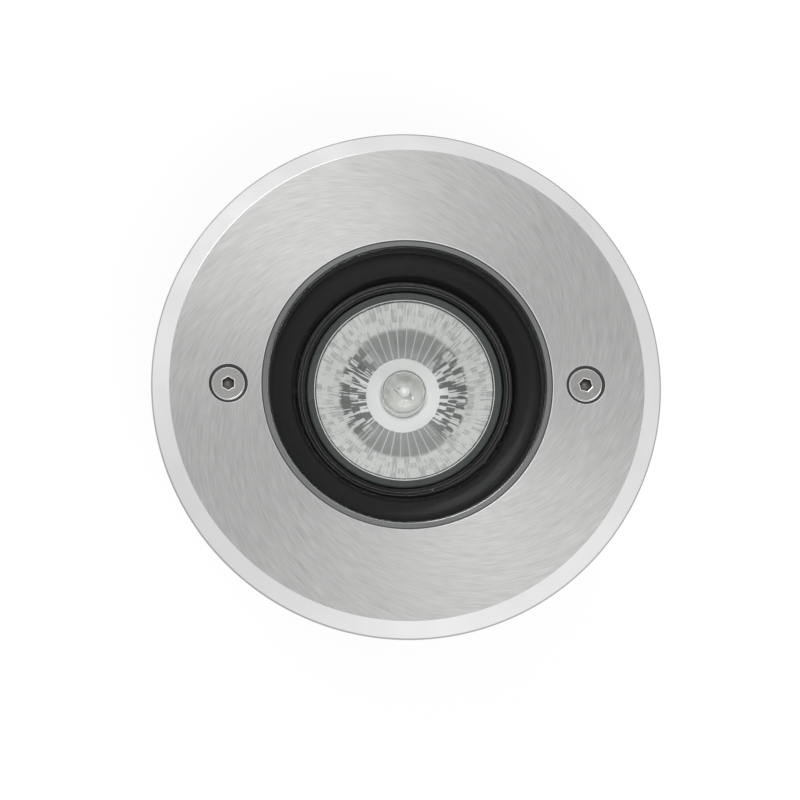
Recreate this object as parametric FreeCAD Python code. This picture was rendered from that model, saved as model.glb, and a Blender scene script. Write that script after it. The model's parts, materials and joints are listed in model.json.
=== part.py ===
"""In ground well light: a recessed round uplight in a buried sleeve.

Millimetres, +Z up. The origin is the centre of the sleeve's foot, so that the light stands on
z = 0 with its face up. Depths are measured down from the polished face of the trim ring.

The pieces, from the top: trim ring and its two socket screws, stepped glass in its gasket, black
baffle dish, tilting gimbal with bracket, lampholder and reflector lamp, cast housing with its
terminals and cable gland, and the installation sleeve that stays in the ground.
"""

import FreeCAD
import Part

import math
import os

from FreeCAD import Placement, Rotation, Vector

# ---- overall ---------------------------------------------------------------------------------
TOTAL_HEIGHT = 120.0  # foot of the sleeve to the trim's face

# ---- clearances ------------------------------------------------------------------------------
RUNNING_GAP = 0.05  # shaft in its hole
SEAT_GAP = 0.1  # moulded piece beside its neighbour
PART_GAP = 0.3  # pieces that pass each other

# ---- trim ring -------------------------------------------------------------------------------
TRIM_R = 65.0
TRIM_THICKNESS = 3.0
TRIM_LAND_R = 59.0  # inside edge of the raised land that lies on the paving
TRIM_LAND_HEIGHT = 0.3
TRIM_BEVEL_WIDTH = 4.5
TRIM_EDGE_HEIGHT = 0.6
TRIM_OPENING_R = 37.0
TRIM_OPENING_CHAMFER = 0.3

# ---- trim screws, M5 countersunk with a hexagon socket ----------------------------------------
SCREW_SPACING = 91.0
SCREW_R = 2.5
SCREW_LENGTH = 16.0
SCREW_HEAD_R = 4.35
SCREW_HEAD_RIM = 0.25
SCREW_SUNK = 0.35
SCREW_HEX_FLATS = 3.0
SCREW_HEX_DEPTH = 1.7
SCREW_TIP_CHAMFER = 0.6
SCREW_HOLE_R = 2.75
SCREW_HEX_START = 30.0  # a corner's angle from +X before the screw is turned, in degrees
SCREW_TURN = {"left": 0.0, "right": 16.5}  # how far each hexagon is turned, in degrees
SCREW_TIP_ROOM = 1.0  # thread left in the boss beyond the screw's tip
WASHER_R = 3.7
WASHER_THICKNESS = 0.8

# ---- glass and its gasket --------------------------------------------------------------------
GLASS_TOP_DEPTH = 0.8
GLASS_WINDOW_R = 35.5
GLASS_FLANGE_R = 38.6
GLASS_FLANGE_TOP_DEPTH = 4.2
GLASS_FLANGE_THICKNESS = 3.0
GLASS_CHAMFER = 0.4
GASKET_BEAD_TOP_DEPTH = 0.4
GASKET_BEAD_CHAMFER = 0.25
GASKET_WALL = 1.6
GASKET_LOWER_LIP = 1.2
GASKET_LOWER_LIP_R = 34.6

# ---- housing ---------------------------------------------------------------------------------
HOUSING_TOP_GAP = 0.2
HOUSING_RIM_R = 51.2
HOUSING_RIM_HEIGHT = 6.0
HOUSING_BORE_R = 35.8
HOUSING_WALL = 3.0
HOUSING_DRAFT = 2.3  # how much the barrel narrows to its floor
HOUSING_FLOOR_TOP_DEPTH = 90.0
HOUSING_FLOOR_THICKNESS = 3.0
HOUSING_RIB_COUNT = 8
HOUSING_RIB_WIDTH = 2.4
HOUSING_RIB_HEIGHT = 3.2
HOUSING_RIB_END_DEPTH = 82.0
ROOT = 1.0  # how far a rib, web or post reaches into the wall that carries it
BOSS_R = 4.8
BOSS_DEPTH = 19.5
BOSS_WEB_WIDTH = 5.0
FLOOR_PAD_R = 17.0
FLOOR_PAD_HEIGHT = 1.2

# ---- baffle dish -----------------------------------------------------------------------------
DISH_FLANGE_R = 37.2
DISH_FLANGE_THICKNESS = 1.6
DISH_SHOULDER_R = 34.3
DISH_MOUTH_R = 28.2
DISH_MOUTH_DEPTH = 11.2
DISH_MOUTH_LIP = 0.8
DISH_CROWN = 0.75  # rise of the dish's rounded shoulder over a straight cone
DISH_TAB_COUNT = 3
DISH_TAB_WIDTH = 9.0
DISH_TAB_LENGTH = 6.0
DISH_TAB_THICKNESS = 1.2
EAR_INNER_R = 28.9
EAR_THICKNESS = 2.0
EAR_WIDTH = 7.0

# ---- gimbal ----------------------------------------------------------------------------------
TILT_AXIS_AZIMUTH = -30.0
TILT_AT_REST = 6.8
PIVOT_DEPTH = 13.4
GIMBAL_R = 27.6
GIMBAL_OPENING_R = 25.4
GIMBAL_TOP = 1.6
GIMBAL_BOTTOM = -1.5
GIMBAL_CHAMFER = 0.4
PIVOT_R = 1.2
PIVOT_HEAD_R = 2.4
PIVOT_HEAD_THICKNESS = 1.4
PIVOT_SLOT = 0.6
BRACKET_SHEET = 1.2
BRACKET_WIDTH = 12.0
BRACKET_BEND_HIGH = -15.0
BRACKET_BEND_LOW = -41.0

# ---- reflector lamp, 50 mm -------------------------------------------------------------------
LAMP_R = 25.0
LAMP_FRONT = 1.0
LAMP_RIM_HEIGHT = 2.2
LAMP_BOWL_R = 24.0
LAMP_BOWL_WALL = 1.3
LAMP_NECK_R = 9.6
LAMP_NECK_Z = -33.0
LAMP_COVER_R = 23.0
LAMP_COVER_THICKNESS = 1.5
LAMP_COVER_LEDGE = 0.4  # how far the cover rests on the bowl's rim
LAMP_FINE_FACETS = 72
LAMP_COARSE_FACETS = 36
LAMP_FINE_BANDS = 3
LAMP_COARSE_BANDS = 2
LAMP_FACET_CHANGE_R = 16.4
LAMP_BASE_BOTTOM = -45.0
LAMP_BASE_R = 9.8
LAMP_BASE_COLLAR_R = 11.6
LAMP_BASE_COLLAR_HEIGHT = 5.0
CAPSULE_R = 5.8
CAPSULE_TOP = -8.5
CAPSULE_TIP_R = 1.1
CAPSULE_TIP_HEIGHT = 1.6
CAPSULE_WALL = 0.9
FILAMENT_R = 0.7
FILAMENT_LENGTH = 5.0
FILAMENT_Z = -17.0
FILAMENT_LEG_R = 0.35
PIN_SPACING = 10.0
PIN_R = 1.25
PIN_HEAD_R = 2.45
PIN_HEAD_HEIGHT = 2.4
PIN_LENGTH = 7.0

# ---- lampholder ------------------------------------------------------------------------------
HOLDER_R = 13.5
HOLDER_HEIGHT = 18.0
HOLDER_TOP_PLATE = 2.8
HOLDER_CHAMFER = 0.8
TWIST_ANGLE = 30.0
PIN_PATH_GAP = 0.35
CONTACT_THICKNESS = 0.8
HOLDER_SCREW_R = 1.5
HOLDER_SCREW_HEAD_R = 2.7
HOLDER_SCREW_HEAD_HEIGHT = 1.8
HOLDER_SCREW_SPACING = 19.0
HOLDER_SCREW_DEPTH = 6.0
LEAD_HOLE_R = 1.6
LEAD_SPACING = 7.0

# ---- terminals --------------------------------------------------------------------------------
BLOCK_NEAR_X = 19.0
BLOCK_DEPTH = 10.0
BLOCK_WIDTH = 21.0
BLOCK_HEIGHT = 9.0
BLOCK_WAYS = 2
BLOCK_WIRE_R = 1.7
BLOCK_SCREW_R = 1.5
BLOCK_SCREW_SUNK = 1.0
LEAD_R = 1.1
EARTH_POST_X = -25.0
EARTH_POST_R = 4.0
EARTH_POST_HEIGHT = 6.0
EARTH_SCREW_R = 2.0
EARTH_HEAD_R = 3.5
EARTH_HEAD_HEIGHT = 2.4
EARTH_TAG_THICKNESS = 0.8
EARTH_TAG_LENGTH = 9.0

# ---- cable gland, M20 ------------------------------------------------------------------------
GLAND_THREAD_R = 10.0
GLAND_BORE_R = 5.0
GLAND_NUT_FLATS = 24.0
GLAND_NUT_HEIGHT = 4.0
GLAND_STUB_PROUD = 1.0  # thread that shows past the lock nut
GLAND_SEAL_RING_THICKNESS = 1.5
GLAND_COLLAR_FLATS = 24.0
GLAND_COLLAR_HEIGHT = 5.0
GLAND_NECK_R = 9.4
GLAND_NECK_HEIGHT = 8.0
GLAND_CAP_HEIGHT = 14.0
GLAND_CAP_DOME = 3.0
GLAND_CAP_MOUTH_R = 5.4
CABLE_SEAL_R = 7.4
CABLE_SEAL_BORE_R = 3.75
CABLE_SEAL_LENGTH = 10.0
CABLE_SEAL_PROUD = 2.0  # how far the seal stands out of the gland's neck
CABLE_SEAL_NOSE = 1.0  # spigots at both ends, in the cap's mouth and in the gland's bore

# ---- installation sleeve ---------------------------------------------------------------------
SLEEVE_FLANGE_R = 58.0
SLEEVE_FLANGE_THICKNESS = 2.5
SLEEVE_TOP_R = 54.5
SLEEVE_DRAFT = 5.0  # how much the sleeve narrows to its foot
SLEEVE_WALL = 2.5
SLEEVE_LEDGE_R = 46.5
SLEEVE_LEDGE_THICKNESS = 2.5
SLEEVE_FOOT_R = 44.0
SLEEVE_FOOT_THICKNESS = 2.5
SLEEVE_EDGE_DRAFT = 0.2  # mould draft on the ledge's and the foot's inner edges
SLEEVE_RIB_COUNT = 8
SLEEVE_RIB_WIDTH = 2.0
SLEEVE_RIB_HEIGHT = 2.0
SLEEVE_RIB_END_DEPTH = 94.0
ARCH_WIDTH = 16.0
ARCH_HEIGHT = 20.0
ARCH_COUNT = 2

# ---- levels worked out from the sizes above ----------------------------------------------------
UP = Vector(0, 0, 1)
GLASS_BOTTOM_DEPTH = GLASS_FLANGE_TOP_DEPTH + GLASS_FLANGE_THICKNESS
GASKET_R = GLASS_FLANGE_R + SEAT_GAP + GASKET_WALL
SEAT_DEPTH = GLASS_BOTTOM_DEPTH + GASKET_LOWER_LIP
WELL_R = GASKET_R + 2 * SEAT_GAP
HOUSING_TOP_DEPTH = TRIM_THICKNESS + HOUSING_TOP_GAP
HOUSING_LEDGE_DEPTH = HOUSING_TOP_DEPTH + HOUSING_RIM_HEIGHT
HOUSING_BOTTOM_DEPTH = HOUSING_FLOOR_TOP_DEPTH + HOUSING_FLOOR_THICKNESS
DISH_TOP_DEPTH = SEAT_DEPTH + SEAT_GAP
DISH_SEAT_DEPTH = DISH_TOP_DEPTH + DISH_FLANGE_THICKNESS
SLEEVE_TOP_DEPTH = TRIM_THICKNESS + PART_GAP
HOLDER_TOP = LAMP_BASE_BOTTOM - PART_GAP
HOLDER_BOTTOM = HOLDER_TOP - HOLDER_HEIGHT
EAR_OUTER_R = EAR_INNER_R + EAR_THICKNESS


def level(depth):
    """Height over the sleeve's foot of a depth under the trim's face."""
    return TOTAL_HEIGHT - depth


def turned(profile):
    """Solid of revolution about Z from (radius, height) corners."""
    corners = [Vector(radius, 0, height) for radius, height in profile]
    face = Part.Face(Part.makePolygon(corners + corners[:1]))
    return face.revolve(Vector(0, 0, 0), UP, 360)


def turned_depths(profile):
    """Solid of revolution from (radius, depth) corners."""
    return turned([(radius, level(depth)) for radius, depth in profile])


def disc(radius, bottom, top, x=0.0, y=0.0):
    """Upright cylinder between two heights."""
    return Part.makeCylinder(radius, top - bottom, Vector(x, y, bottom), UP)


def ring(inner, outer, bottom, top):
    """Upright tube between two heights."""
    return disc(outer, bottom, top).cut(disc(inner, bottom, top))


def block(x_range, y_range, z_range):
    """Box from its ranges along X, Y and Z."""
    size = [high - low for low, high in (x_range, y_range, z_range)]
    return Part.makeBox(size[0], size[1], size[2], Vector(x_range[0], y_range[0], z_range[0]))


def hexagon(flats, bottom, top, turn=0.0):
    """Upright hexagonal prism, with a corner at `turn` degrees from +X."""
    corner_r = flats / math.sqrt(3)
    return polygon_prism(6, corner_r, corner_r, bottom, top, turn)


def polygon_ring(sides, radius, height, turn=0.0):
    """Closed polygon wire with its corners on a circle."""
    angles = [math.radians(turn + 360.0 * i / sides) for i in range(sides)]
    corners = [Vector(radius * math.cos(a), radius * math.sin(a), height) for a in angles]
    return Part.makePolygon(corners + corners[:1])


def polygon_prism(sides, low_r, high_r, bottom, top, turn=0.0):
    """Straight or tapered prism between two polygons."""
    wires = [polygon_ring(sides, low_r, bottom, turn), polygon_ring(sides, high_r, top, turn)]
    return Part.makeLoft(wires, True, True)


def around(shape, count, start=0.0):
    """Copies of a shape spaced evenly about Z."""
    copies = []
    for i in range(count):
        copy = shape.copy()
        copy.rotate(Vector(0, 0, 0), UP, start + 360.0 * i / count)
        copies.append(copy)
    return copies


def upright_fin(profile, width):
    """Plate in the XZ plane, centred on Y, from (radius, depth) corners."""
    corners = [Vector(radius, -width / 2, level(depth)) for radius, depth in profile]
    face = Part.Face(Part.makePolygon(corners + corners[:1]))
    return face.extrude(Vector(0, width, 0))


def tilted(shape):
    """Places a shape from the gimbal's own frame: origin on the pivots, X along their axis."""
    placed = shape.copy()
    lean = Rotation(UP, TILT_AXIS_AZIMUTH).multiply(Rotation(Vector(1, 0, 0), TILT_AT_REST))
    placed.Placement = Placement(Vector(0, 0, level(PIVOT_DEPTH)), lean)
    return placed


def facing_pivots(shape):
    """Turns a level shape so that its X axis lies along the pivots."""
    placed = shape.copy()
    placed.rotate(Vector(0, 0, 0), UP, TILT_AXIS_AZIMUTH)
    return placed


# ---- trim and screws -------------------------------------------------------------------------
def screw_sides():
    """The two screws' names with their X positions."""
    return (("left", -SCREW_SPACING / 2), ("right", SCREW_SPACING / 2))


def trim_ring():
    """Flat stainless ring: polished bevel, countersunk holes and a land under its edge."""
    face_r = TRIM_R - TRIM_BEVEL_WIDTH
    chamfer = TRIM_OPENING_CHAMFER
    land_depth = TRIM_THICKNESS + TRIM_LAND_HEIGHT
    body = turned_depths([
        (TRIM_OPENING_R, TRIM_THICKNESS),
        (TRIM_LAND_R, TRIM_THICKNESS),
        (TRIM_LAND_R, land_depth),
        (TRIM_R, land_depth),
        (TRIM_R, TRIM_THICKNESS - TRIM_EDGE_HEIGHT),
        (face_r, 0),
        (TRIM_OPENING_R + chamfer, 0),
        (TRIM_OPENING_R, chamfer),
    ])
    sink_r = SCREW_HEAD_R + SCREW_SUNK + SCREW_HEAD_RIM + SEAT_GAP
    sink_depth = sink_r - SCREW_HOLE_R
    for _, x in screw_sides():
        cone = Part.makeCone(SCREW_HOLE_R, sink_r, sink_depth, Vector(x, 0, level(sink_depth)), UP)
        body = body.cut(cone.fuse(disc(SCREW_HOLE_R, level(TRIM_THICKNESS), level(0), x)))
    return body


def trim_screw(x, hexagon_turn):
    """Countersunk socket screw, head just under the face and tip in the housing's boss."""
    top = SCREW_SUNK
    tip = top + SCREW_LENGTH
    rim = top + SCREW_HEAD_RIM
    neck = rim + SCREW_HEAD_R - SCREW_R
    body = turned_depths([
        (0, top),
        (SCREW_HEAD_R, top),
        (SCREW_HEAD_R, rim),
        (SCREW_R, neck),
        (SCREW_R, tip - SCREW_TIP_CHAMFER),
        (SCREW_R - SCREW_TIP_CHAMFER, tip),
        (0, tip),
    ])
    corner_turn = SCREW_HEX_START + hexagon_turn
    socket = hexagon(SCREW_HEX_FLATS, level(top + SCREW_HEX_DEPTH), level(top), corner_turn)
    screw = body.cut(socket)
    screw.translate(Vector(x, 0, 0))
    return screw


def screw_washers():
    """Rings that hold the screws captive under the trim."""
    top = level(TRIM_THICKNESS)
    rings = []
    for _, x in screw_sides():
        washer = ring(SCREW_R + SEAT_GAP, WASHER_R, top - WASHER_THICKNESS, top)
        washer.translate(Vector(x, 0, 0))
        rings.append(washer)
    return Part.makeCompound(rings)


# ---- lens ------------------------------------------------------------------------------------
def lens_glass():
    """Stepped toughened glass: a window through the trim over a wider clamped flange."""
    edge = GLASS_CHAMFER
    return turned_depths([
        (0, GLASS_TOP_DEPTH),
        (GLASS_WINDOW_R - edge, GLASS_TOP_DEPTH),
        (GLASS_WINDOW_R, GLASS_TOP_DEPTH + edge),
        (GLASS_WINDOW_R, GLASS_FLANGE_TOP_DEPTH),
        (GLASS_FLANGE_R - edge, GLASS_FLANGE_TOP_DEPTH),
        (GLASS_FLANGE_R, GLASS_FLANGE_TOP_DEPTH + edge),
        (GLASS_FLANGE_R, GLASS_BOTTOM_DEPTH - edge),
        (GLASS_FLANGE_R - edge, GLASS_BOTTOM_DEPTH),
        (0, GLASS_BOTTOM_DEPTH),
    ])


def lens_gasket():
    """Silicone seal wrapped round the glass flange, with a bead up the trim's opening."""
    window = GLASS_WINDOW_R + SEAT_GAP
    bead = TRIM_OPENING_R - SEAT_GAP
    edge = GASKET_BEAD_CHAMFER
    return turned_depths([
        (window, GASKET_BEAD_TOP_DEPTH + edge),
        (window + edge, GASKET_BEAD_TOP_DEPTH),
        (bead - edge, GASKET_BEAD_TOP_DEPTH),
        (bead, GASKET_BEAD_TOP_DEPTH + edge),
        (bead, TRIM_THICKNESS),
        (GASKET_R, TRIM_THICKNESS),
        (GASKET_R, SEAT_DEPTH),
        (GASKET_LOWER_LIP_R, SEAT_DEPTH),
        (GASKET_LOWER_LIP_R, GLASS_BOTTOM_DEPTH),
        (GLASS_FLANGE_R + SEAT_GAP, GLASS_BOTTOM_DEPTH),
        (GLASS_FLANGE_R + SEAT_GAP, GLASS_FLANGE_TOP_DEPTH),
        (window, GLASS_FLANGE_TOP_DEPTH),
    ])


# ---- housing ---------------------------------------------------------------------------------
def barrel_r(depth):
    """Outer radius of the drafted barrel at a depth."""
    share = (depth - DISH_SEAT_DEPTH) / (HOUSING_BOTTOM_DEPTH - DISH_SEAT_DEPTH)
    return HOUSING_BORE_R + HOUSING_WALL - HOUSING_DRAFT * share


def housing_shell():
    """Rim with the lens well, drafted barrel and floor."""
    floor_bore_r = barrel_r(HOUSING_FLOOR_TOP_DEPTH) - HOUSING_WALL
    ledge_r = barrel_r(DISH_SEAT_DEPTH)
    return turned_depths([
        (WELL_R, HOUSING_TOP_DEPTH),
        (HOUSING_RIM_R, HOUSING_TOP_DEPTH),
        (HOUSING_RIM_R, HOUSING_LEDGE_DEPTH),
        (SLEEVE_LEDGE_R - PART_GAP, HOUSING_LEDGE_DEPTH),
        (ledge_r, HOUSING_LEDGE_DEPTH + HOUSING_WALL),
        (barrel_r(HOUSING_BOTTOM_DEPTH), HOUSING_BOTTOM_DEPTH),
        (FLOOR_PAD_R, HOUSING_BOTTOM_DEPTH),
        (FLOOR_PAD_R - FLOOR_PAD_HEIGHT, HOUSING_BOTTOM_DEPTH + FLOOR_PAD_HEIGHT),
        (GLAND_THREAD_R + SEAT_GAP, HOUSING_BOTTOM_DEPTH + FLOOR_PAD_HEIGHT),
        (GLAND_THREAD_R + SEAT_GAP, HOUSING_FLOOR_TOP_DEPTH),
        (floor_bore_r, HOUSING_FLOOR_TOP_DEPTH),
        (HOUSING_BORE_R, DISH_SEAT_DEPTH),
        (DISH_FLANGE_R + SEAT_GAP, DISH_SEAT_DEPTH),
        (DISH_FLANGE_R + SEAT_GAP, SEAT_DEPTH),
        (WELL_R, SEAT_DEPTH),
    ])


def housing_ribs():
    """Upright ribs round the barrel, between the two screw bosses."""
    start = HOUSING_LEDGE_DEPTH
    end = HOUSING_RIB_END_DEPTH
    fin = upright_fin([
        (barrel_r(start) - ROOT, start),
        (barrel_r(start) + HOUSING_RIB_HEIGHT, start),
        (barrel_r(end) + HOUSING_RIB_HEIGHT / 2, end - HOUSING_RIB_HEIGHT),
        (barrel_r(end) - ROOT, end),
    ], HOUSING_RIB_WIDTH)
    return around(fin, HOUSING_RIB_COUNT, 180.0 / HOUSING_RIB_COUNT)


def screw_boss(x):
    """Boss under the rim for one trim screw, webbed to the barrel."""
    bottom = level(BOSS_DEPTH)
    top = level(HOUSING_LEDGE_DEPTH)
    inner_x = math.copysign(barrel_r(HOUSING_LEDGE_DEPTH) - ROOT, x)
    web = block(sorted((inner_x, x)), (-BOSS_WEB_WIDTH / 2, BOSS_WEB_WIDTH / 2), (bottom, top))
    return disc(BOSS_R, bottom, top + ROOT, x).fuse(web)


def housing_body():
    """Die-cast housing with screw bosses, ribs, an earth post and the gland's hole."""
    body = housing_shell()
    body = body.multiFuse(housing_ribs() + [screw_boss(x) for _, x in screw_sides()])
    floor = level(HOUSING_FLOOR_TOP_DEPTH)
    post = disc(EARTH_POST_R, floor - ROOT, floor + EARTH_POST_HEIGHT, EARTH_POST_X)
    body = body.fuse(facing_pivots(post))
    tools = []
    for _, x in screw_sides():
        screw_tip = level(SCREW_SUNK + SCREW_LENGTH + SCREW_TIP_ROOM)
        tools.append(disc(SCREW_R + RUNNING_GAP, screw_tip, level(HOUSING_TOP_DEPTH), x))
        recess = TRIM_THICKNESS + WASHER_THICKNESS + PART_GAP
        tools.append(disc(WASHER_R + SEAT_GAP, level(recess), level(HOUSING_TOP_DEPTH), x))
    thread = disc(EARTH_SCREW_R + SEAT_GAP, floor - ROOT, floor + EARTH_POST_HEIGHT, EARTH_POST_X)
    tools.append(facing_pivots(thread))
    return body.cut(Part.makeCompound(tools)).removeSplitter()


# ---- baffle dish -----------------------------------------------------------------------------
def dish_section():
    """Half section of the dish: flange, rounded shoulder and lip at the mouth."""
    shoulder = Vector(DISH_SHOULDER_R, 0, level(DISH_TOP_DEPTH))
    mouth = Vector(DISH_MOUTH_R, 0, level(DISH_MOUTH_DEPTH))
    chord = mouth - shoulder
    normal = Vector(chord.z, 0, -chord.x).normalize()
    crown = shoulder + chord * 0.5 + normal * DISH_CROWN
    lip = mouth - Vector(0, 0, DISH_MOUTH_LIP)
    under = shoulder - Vector(0, 0, DISH_FLANGE_THICKNESS)
    under_crown = lip + (under - lip) * 0.5 + normal * DISH_CROWN
    flange_low = Vector(DISH_FLANGE_R, 0, under.z)
    flange_high = Vector(DISH_FLANGE_R, 0, shoulder.z)
    edges = [
        Part.Arc(shoulder, crown, mouth).toShape(),
        Part.LineSegment(mouth, lip).toShape(),
        Part.Arc(lip, under_crown, under).toShape(),
        Part.LineSegment(under, flange_low).toShape(),
        Part.LineSegment(flange_low, flange_high).toShape(),
        Part.LineSegment(flange_high, shoulder).toShape(),
    ]
    return Part.Face(Part.Wire(edges))


def pivot_ear():
    """Ear under the dish that carries one pivot, drilled for it."""
    hang = EAR_WIDTH / 2
    pivot = level(PIVOT_DEPTH)
    top = level(DISH_MOUTH_DEPTH - DISH_MOUTH_LIP / 2)
    plate = block((EAR_INNER_R, EAR_OUTER_R), (-hang, hang), (pivot, top))
    foot = Part.makeCylinder(hang, EAR_THICKNESS, Vector(EAR_INNER_R, 0, pivot), Vector(1, 0, 0))
    reach = 2 * EAR_THICKNESS
    start = Vector(EAR_INNER_R - EAR_THICKNESS / 2, 0, pivot)
    bore = Part.makeCylinder(PIVOT_R + RUNNING_GAP, reach, start, Vector(1, 0, 0))
    return plate.fuse(foot), bore


def baffle_dish():
    """Black anti-glare dish: its ears carry the gimbal, its tabs grip the housing."""
    dish = dish_section().revolve(Vector(0, 0, 0), UP, 360)
    outer_r = HOUSING_BORE_R - PART_GAP
    tab = block(
        (outer_r - 2 * DISH_TAB_THICKNESS, outer_r),
        (-DISH_TAB_WIDTH / 2, DISH_TAB_WIDTH / 2),
        (level(DISH_SEAT_DEPTH + DISH_TAB_LENGTH), level(DISH_SEAT_DEPTH)),
    )
    low = level(DISH_SEAT_DEPTH + DISH_TAB_LENGTH)
    inside = ring(outer_r - DISH_TAB_THICKNESS, outer_r, low, level(DISH_SEAT_DEPTH))
    tabs = [piece.common(inside) for piece in around(tab, DISH_TAB_COUNT, 90.0)]
    ear, bore = pivot_ear()
    ears = [facing_pivots(piece) for piece in around(ear, 2)]
    bores = [facing_pivots(piece) for piece in around(bore, 2)]
    body = dish.multiFuse(tabs + ears)
    return body.cut(Part.makeCompound(bores))


# ---- gimbal ----------------------------------------------------------------------------------
def gimbal_ring():
    """Stepped ring that tilts on its two pivots and guides the lamp's rim."""
    edge = GIMBAL_CHAMFER
    body = turned([
        (GIMBAL_OPENING_R, GIMBAL_BOTTOM),
        (GIMBAL_R, GIMBAL_BOTTOM),
        (GIMBAL_R, GIMBAL_TOP - edge),
        (GIMBAL_R - edge, GIMBAL_TOP),
        (GIMBAL_OPENING_R + edge, GIMBAL_TOP),
        (GIMBAL_OPENING_R, GIMBAL_TOP - edge),
    ])
    start = Vector(-GIMBAL_R, 0, 0)
    holes = Part.makeCylinder(PIVOT_R + SEAT_GAP, 2 * GIMBAL_R, start, Vector(1, 0, 0))
    return tilted(body.cut(holes))


def pivot_screws():
    """Two shoulder screws: through the dish's ears into the gimbal ring."""
    inner = GIMBAL_OPENING_R + SEAT_GAP
    head = EAR_OUTER_R + SEAT_GAP
    along = Vector(1, 0, 0)
    shank = Part.makeCylinder(PIVOT_R, head - inner, Vector(inner, 0, 0), along)
    cap = Part.makeCylinder(PIVOT_HEAD_R, PIVOT_HEAD_THICKNESS, Vector(head, 0, 0), along)
    end = head + PIVOT_HEAD_THICKNESS
    slot = block(
        (end - PIVOT_SLOT, end),
        (-PIVOT_HEAD_R, PIVOT_HEAD_R),
        (-PIVOT_SLOT / 2, PIVOT_SLOT / 2),
    )
    screw = shank.fuse(cap).cut(slot)
    return Part.makeCompound([tilted(piece) for piece in around(screw, 2)])


def strip_corners(points, thickness):
    """Corners of a sheet strip of one thickness along (x, z) points, mitred at its bends."""
    normals = []
    for (x0, z0), (x1, z1) in zip(points, points[1:]):
        length = math.hypot(x1 - x0, z1 - z0)
        normals.append((-(z1 - z0) / length, (x1 - x0) / length))
    near = []
    far = []
    for i, (x, z) in enumerate(points):
        before = normals[max(i - 1, 0)]
        after = normals[min(i, len(normals) - 1)]
        share = 1 + before[0] * after[0] + before[1] * after[1]
        offset_x = thickness * (before[0] + after[0]) / share
        offset_z = thickness * (before[1] + after[1]) / share
        near.append(Vector(x, 0, z))
        far.append(Vector(x + offset_x, 0, z + offset_z))
    return near + far[::-1]


def lamp_bracket():
    """Bent steel strap from the gimbal ring down to the lampholder and across under it."""
    high_x = (GIMBAL_OPENING_R + GIMBAL_R) / 2 + BRACKET_SHEET / 2
    low_x = HOLDER_R + PART_GAP + BRACKET_SHEET
    foot_z = HOLDER_BOTTOM - BRACKET_SHEET
    points = [
        (high_x, GIMBAL_BOTTOM),
        (high_x, BRACKET_BEND_HIGH),
        (low_x, BRACKET_BEND_LOW),
        (low_x, foot_z),
        (-low_x, foot_z),
        (-low_x, BRACKET_BEND_LOW),
        (-high_x, BRACKET_BEND_HIGH),
        (-high_x, GIMBAL_BOTTOM),
    ]
    corners = strip_corners(points, -BRACKET_SHEET)
    face = Part.Face(Part.makePolygon(corners + corners[:1]))
    strap = face.extrude(Vector(0, BRACKET_WIDTH, 0))
    strap.translate(Vector(0, -BRACKET_WIDTH / 2, 0))
    window = disc(LEAD_SPACING / 2 + LEAD_HOLE_R, foot_z - 1.0, HOLDER_BOTTOM + 1.0)
    holes = [window]
    for x in (-HOLDER_SCREW_SPACING / 2, HOLDER_SCREW_SPACING / 2):
        holes.append(disc(HOLDER_SCREW_R + SEAT_GAP, foot_z - 1.0, HOLDER_BOTTOM + 1.0, x))
    return tilted(strap.cut(Part.makeCompound(holes)))


def pin_path(radius, bottom, top):
    """Space swept by both lamp pins as the lamp turns in the holder."""
    path_r = PIN_SPACING / 2
    band = ring(path_r - radius, path_r + radius, bottom, top)
    corner = 2 * path_r
    sweep = math.radians(TWIST_ANGLE)
    wedge_corners = [
        Vector(0, 0, bottom),
        Vector(corner, 0, bottom),
        Vector(corner * math.cos(sweep / 2) * 1.2, corner * math.sin(sweep / 2) * 1.2, bottom),
        Vector(corner * math.cos(sweep), corner * math.sin(sweep), bottom),
        Vector(0, 0, bottom),
    ]
    wedge = Part.Face(Part.makePolygon(wedge_corners)).extrude(Vector(0, 0, top - bottom))
    start = disc(radius, bottom, top, path_r)
    end = disc(radius, bottom, top, path_r * math.cos(sweep), path_r * math.sin(sweep))
    return around(band.common(wedge).multiFuse([start, end]), 2)


def lampholder():
    """Ceramic holder with keyhole slots for the lamp's two pins."""
    edge = HOLDER_CHAMFER
    body = turned([
        (0, HOLDER_BOTTOM),
        (HOLDER_R - edge, HOLDER_BOTTOM),
        (HOLDER_R, HOLDER_BOTTOM + edge),
        (HOLDER_R, HOLDER_TOP - edge),
        (HOLDER_R - edge, HOLDER_TOP),
        (0, HOLDER_TOP),
    ])
    plate_bottom = HOLDER_TOP - HOLDER_TOP_PLATE
    chamber_bottom = LAMP_BASE_BOTTOM - PIN_LENGTH - PART_GAP - CONTACT_THICKNESS
    sweep = math.radians(TWIST_ANGLE)
    entry_r = PIN_HEAD_R + PIN_PATH_GAP
    path_r = PIN_SPACING / 2
    entry = disc(entry_r, plate_bottom, HOLDER_TOP, path_r * math.cos(sweep), path_r * math.sin(sweep))
    tools = pin_path(PIN_R + PIN_PATH_GAP, plate_bottom, HOLDER_TOP)
    tools += pin_path(entry_r, chamber_bottom, plate_bottom)
    tools += around(entry, 2)
    for x in (-LEAD_SPACING / 2, LEAD_SPACING / 2):
        tools.append(disc(LEAD_HOLE_R, HOLDER_BOTTOM, chamber_bottom, x))
    for x in (-HOLDER_SCREW_SPACING / 2, HOLDER_SCREW_SPACING / 2):
        top = HOLDER_BOTTOM + HOLDER_SCREW_DEPTH
        tools.append(disc(HOLDER_SCREW_R + SEAT_GAP, HOLDER_BOTTOM, top, x))
    for tool in tools:
        body = body.cut(tool)
    return tilted(body)


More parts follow.
